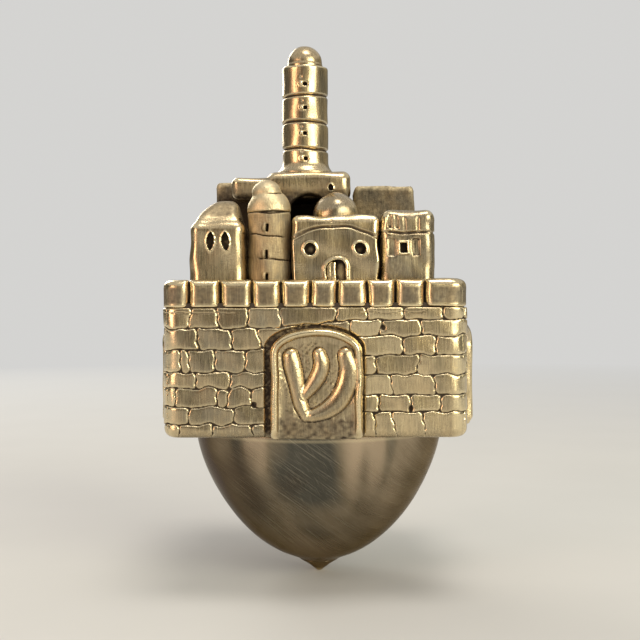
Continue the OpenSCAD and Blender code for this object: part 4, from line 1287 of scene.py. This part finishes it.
def satin(name):
    """Spun silver with painted reflections as soft dark and light smears, with slanting polishing scratches.
    """
    g = new_graph(name)
    wear, grime, tone = g.note("wear"), g.note("grime"), g.note("tone")
    bent = g.swirl(5.0, 0.045)
    cloud = g.noise((0.16, 0.16, 0.4), 5, 0.6, (0.0, 0.6, 0.0), bent)
    arcs = g.noise((0.16, 0.16, 6.0), 4, 0.7, (0.0, 0.6, 0.0), bent)
    streaks = g.noise((0.3, 0.3, 12.0), 2, 0.6, (0.0, 0.95, 0.0), bent)
    body = g.coated(SATIN, (cloud, 0.38, 0.64, 1.0, SATIN_DEEP), (tone, 0.5, 0.0, 0.9, SATIN_REFLECTED_DARK),
                    (tone, 0.5, 1.0, 0.8, SATIN_REFLECTED_LIGHT))
    marks = g.sum(g.span(arcs, 0.53, 0.70), g.span(streaks, 0.60, 0.76), "MAXIMUM")
    marks = g.sum(marks, g.span(tone, 0.5, 0.1, 0.18, 0.5), "MULTIPLY")
    body = g.blend(marks, body, SATIN_SCRATCH)
    body = g.coated(body, (wear, 0, 1, 0.7, BRIGHT))
    dirt_and_shade = g.span(g.sum(grime, g.span(arcs, 0.3, 0.7, 0.1, -0.1)), 0.05, 1.0)
    colour = g.blend(dirt_and_shade, body, PATINA_AND_SHADE)
    roughness = g.sum(g.span(cloud, 0.35, 0.65, 0.20, 0.28), g.span(arcs, 0.4, 0.7, -0.02, 0.06))
    normal = g.bump(streaks, 0.004, under=g.bump(arcs, 0.005))
    metallic = g.span(dirt_and_shade, 0, 1, 1.0, 0.5)
    return g.finish(Base_Color=colour, Metallic=metallic, Roughness=roughness, Normal=normal,
                    Specular_Tint=SATIN_SPECULAR)


def oxidised(name):
    """Dull dark silver of the deck and the base plate."""
    g = new_graph(name)
    cloud = g.noise((0.6, 0.6, 0.6), 5, 0.65)
    grains = g.noise((5, 5, 5), 4, 0.6)
    colour = g.blend(g.span(cloud, 0.35, 0.7), OXIDE_DARK, OXIDE_LIGHT)
    roughness = g.span(grains, 0.3, 0.7, 0.45, 0.7)
    metallic = g.span(cloud, 0.3, 0.7, 0.6, 0.9)
    return g.finish(Base_Color=colour, Metallic=metallic, Roughness=roughness, Normal=g.bump(grains, 0.03))


# Stage

PALE = (0.66, 0.655, 0.64, 1)
PAPER = (0.62, 0.615, 0.60, 1)
ROOM_LIGHT = (0.45, 0.45, 0.44, 1)
FLOOR_REACH = 6000
# Radii, in metres, between which the paper fades into the studio's tone
FADE_FROM, FADE_TO = 0.1, 0.42

CARD_AWAY = 700
CARD_LOW, CARD_HIGH = 1, 380
CREAM, PINK, SMOKE = (1.0, 0.91, 0.68), (1.0, 0.70, 0.50), (0.95, 0.94, 0.83)
# (from, to, in degrees to the right of the front, level, tint)
CARDS = [
    (-18, 2, 0.17, SMOKE), (2, 48, 0.50, CREAM), (48, 76, 0.34, CREAM), (76, 110, 0.20, SMOKE),
    (110, 150, 0.36, CREAM), (150, 205, 0.24, SMOKE), (205, 245, 0.17, CREAM), (245, 285, 0.13, SMOKE),
    (285, 342, 0.32, PINK),
]
# (name, place, aim, size, all in mm, power in watts, colour)
LIGHTS = [
    ("key", (350, -387, 190), (0, 0, 32), (330, 280), 1.9, (1.0, 0.96, 0.76)),
    ("fill", (-400, -335, 130), (0, 0, 32), (170, 240), 0.65, (1.0, 0.68, 0.5)),
    ("top", (60, -120, 520), (0, 0, 30), (200, 200), 0.9, (1.0, 0.93, 0.84)),
    ("rear", (-220, 420, 240), (0, 0, 32), (160, 240), 0.9, (1.0, 0.95, 0.84)),
]


def flat_quad(name, corners, material):
    data = bpy.data.meshes.new(name)
    data.from_pydata([Vector(c) * MM for c in corners], [], [(0, 1, 2, 3)])
    data.materials.append(material)
    quad = bpy.data.objects.new(name, data)
    bpy.context.scene.collection.objects.link(quad)
    return quad


def build_floor():
    """Pale paper floor that fades into the studio's own tone far from the object."""
    g = new_graph("floor_paper")
    colour = g.blend(g.noise((0.05, 0.05, 0.05), 3, 0.5), PAPER, PALE)
    paper = g.add("ShaderNodeBsdfPrincipled", {"Base Color": colour, "Roughness": 0.85}).outputs[0]
    radius = g.add("ShaderNodeVectorMath", {0: g.place}, operation="LENGTH").outputs["Value"]
    far = g.span(radius, FADE_FROM, FADE_TO)
    g.show(g.add("ShaderNodeMixShader", {0: far, 1: paper, 2: g.glow(PALE)}).outputs[0])
    corners = [(sx * FLOOR_REACH, sy * FLOOR_REACH, 0) for sx, sy in ((-1, -1), (1, -1), (1, 1), (-1, 1))]
    flat_quad("floor", corners, g.owner)


def build_cards():
    """Ring of cards that only reflections see: dark behind the camera, warm on both sides of it."""
    for i, (begin, stop, level, tint) in enumerate(CARDS):
        g = new_graph(f"card_tone_{i}")
        g.show(g.glow(tuple(level * t for t in tint) + (1,)))
        corners = []
        for degrees, z in ((begin, CARD_LOW), (stop, CARD_LOW), (stop, CARD_HIGH), (begin, CARD_HIGH)):
            a = math.radians(degrees)
            corners.append((CARD_AWAY * math.sin(a), -CARD_AWAY * math.cos(a), z))
        card = flat_quad(f"card_{i}", corners, g.owner)
        card.visible_camera = card.visible_diffuse = card.visible_shadow = False


def build_lights():
    for name, place, aim, size, power, colour in LIGHTS:
        data = bpy.data.lights.new(name, "AREA")
        data.shape = "RECTANGLE"
        data.size, data.size_y = size[0] * MM, size[1] * MM
        data.energy = power
        data.color = colour
        light = bpy.data.objects.new(name, data)
        light.location = Vector(place) * MM
        light.rotation_euler = (Vector(aim) * MM - light.location).to_track_quat("-Z", "Y").to_euler()
        bpy.context.scene.collection.objects.link(light)


def build_world():
    """Studio that the camera and reflections see pale, and that lights the rest a little less."""
    g = Graph(bpy.data.worlds.new("studio"))
    path = g.add("ShaderNodeLightPath").outputs
    seen = g.sum(path["Is Camera Ray"], path["Is Glossy Ray"], "MAXIMUM")
    seen = g.sum(seen, path["Is Transmission Ray"], "MAXIMUM")
    back = g.add("ShaderNodeBackground", {"Color": g.blend(seen, ROOM_LIGHT, PALE)}).outputs[0]
    g.add("ShaderNodeOutputWorld", {"Surface": back})
    bpy.context.scene.world = g.owner


def build_camera():
    """Camera close in front of the object, a little below the battlements' top."""
    focal_px, frame_px, sensor = 1060.0, 640.0, 36.0
    eye = Vector((3.2, -126.0, 32.2)) * MM
    yaw, pitch, roll = math.radians(1.35), math.atan(20 / focal_px), math.radians(-0.3)
    data = bpy.data.cameras.new("camera")
    data.sensor_width = sensor
    data.lens = focal_px * sensor / frame_px
    data.clip_start, data.clip_end = 0.01, 20
    camera = bpy.data.objects.new("camera", data)
    turns = ((yaw, "Z"), (math.pi / 2 - pitch, "X"), (roll, "Z"))
    look, tilt, lean = (Matrix.Rotation(angle, 4, axis) for angle, axis in turns)
    camera.matrix_world = Matrix.Translation(eye) @ (look @ tilt @ lean)
    bpy.context.scene.collection.objects.link(camera)
    bpy.context.scene.camera = camera


wall_metal = silver("cast_silver_walls", rough=0.26, grain=0.25, scratch=1.0, tarnish=0.75)
gate_metal = silver("cast_silver_gates", rough=0.26, grain=0.8, scratch=0.4, tarnish=0.35)
city_metal = silver("cast_silver_city", rough=0.25, grain=0.5, scratch=0.5, tarnish=0.6)
rough_metal = silver("cast_silver_rough", rough=0.62, grain=3.0, scratch=0.4, tarnish=0.9)
bowl_metal = satin("satin_silver_spun")
dark_metal = oxidised("dark_silver_oxidised")

build_walls(wall_metal)
build_gates(gate_metal)
build_city(city_metal, rough_metal)
build_bowl(bowl_metal)
build_tip(bowl_metal)
for name in ("base_plate", "deck"):
    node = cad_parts[name]
    node.data.materials.clear()
    node.data.materials.append(dark_metal)

build_floor()
build_cards()
build_lights()
build_world()
build_camera()
bpy.context.scene.view_settings.view_transform = "Standard"
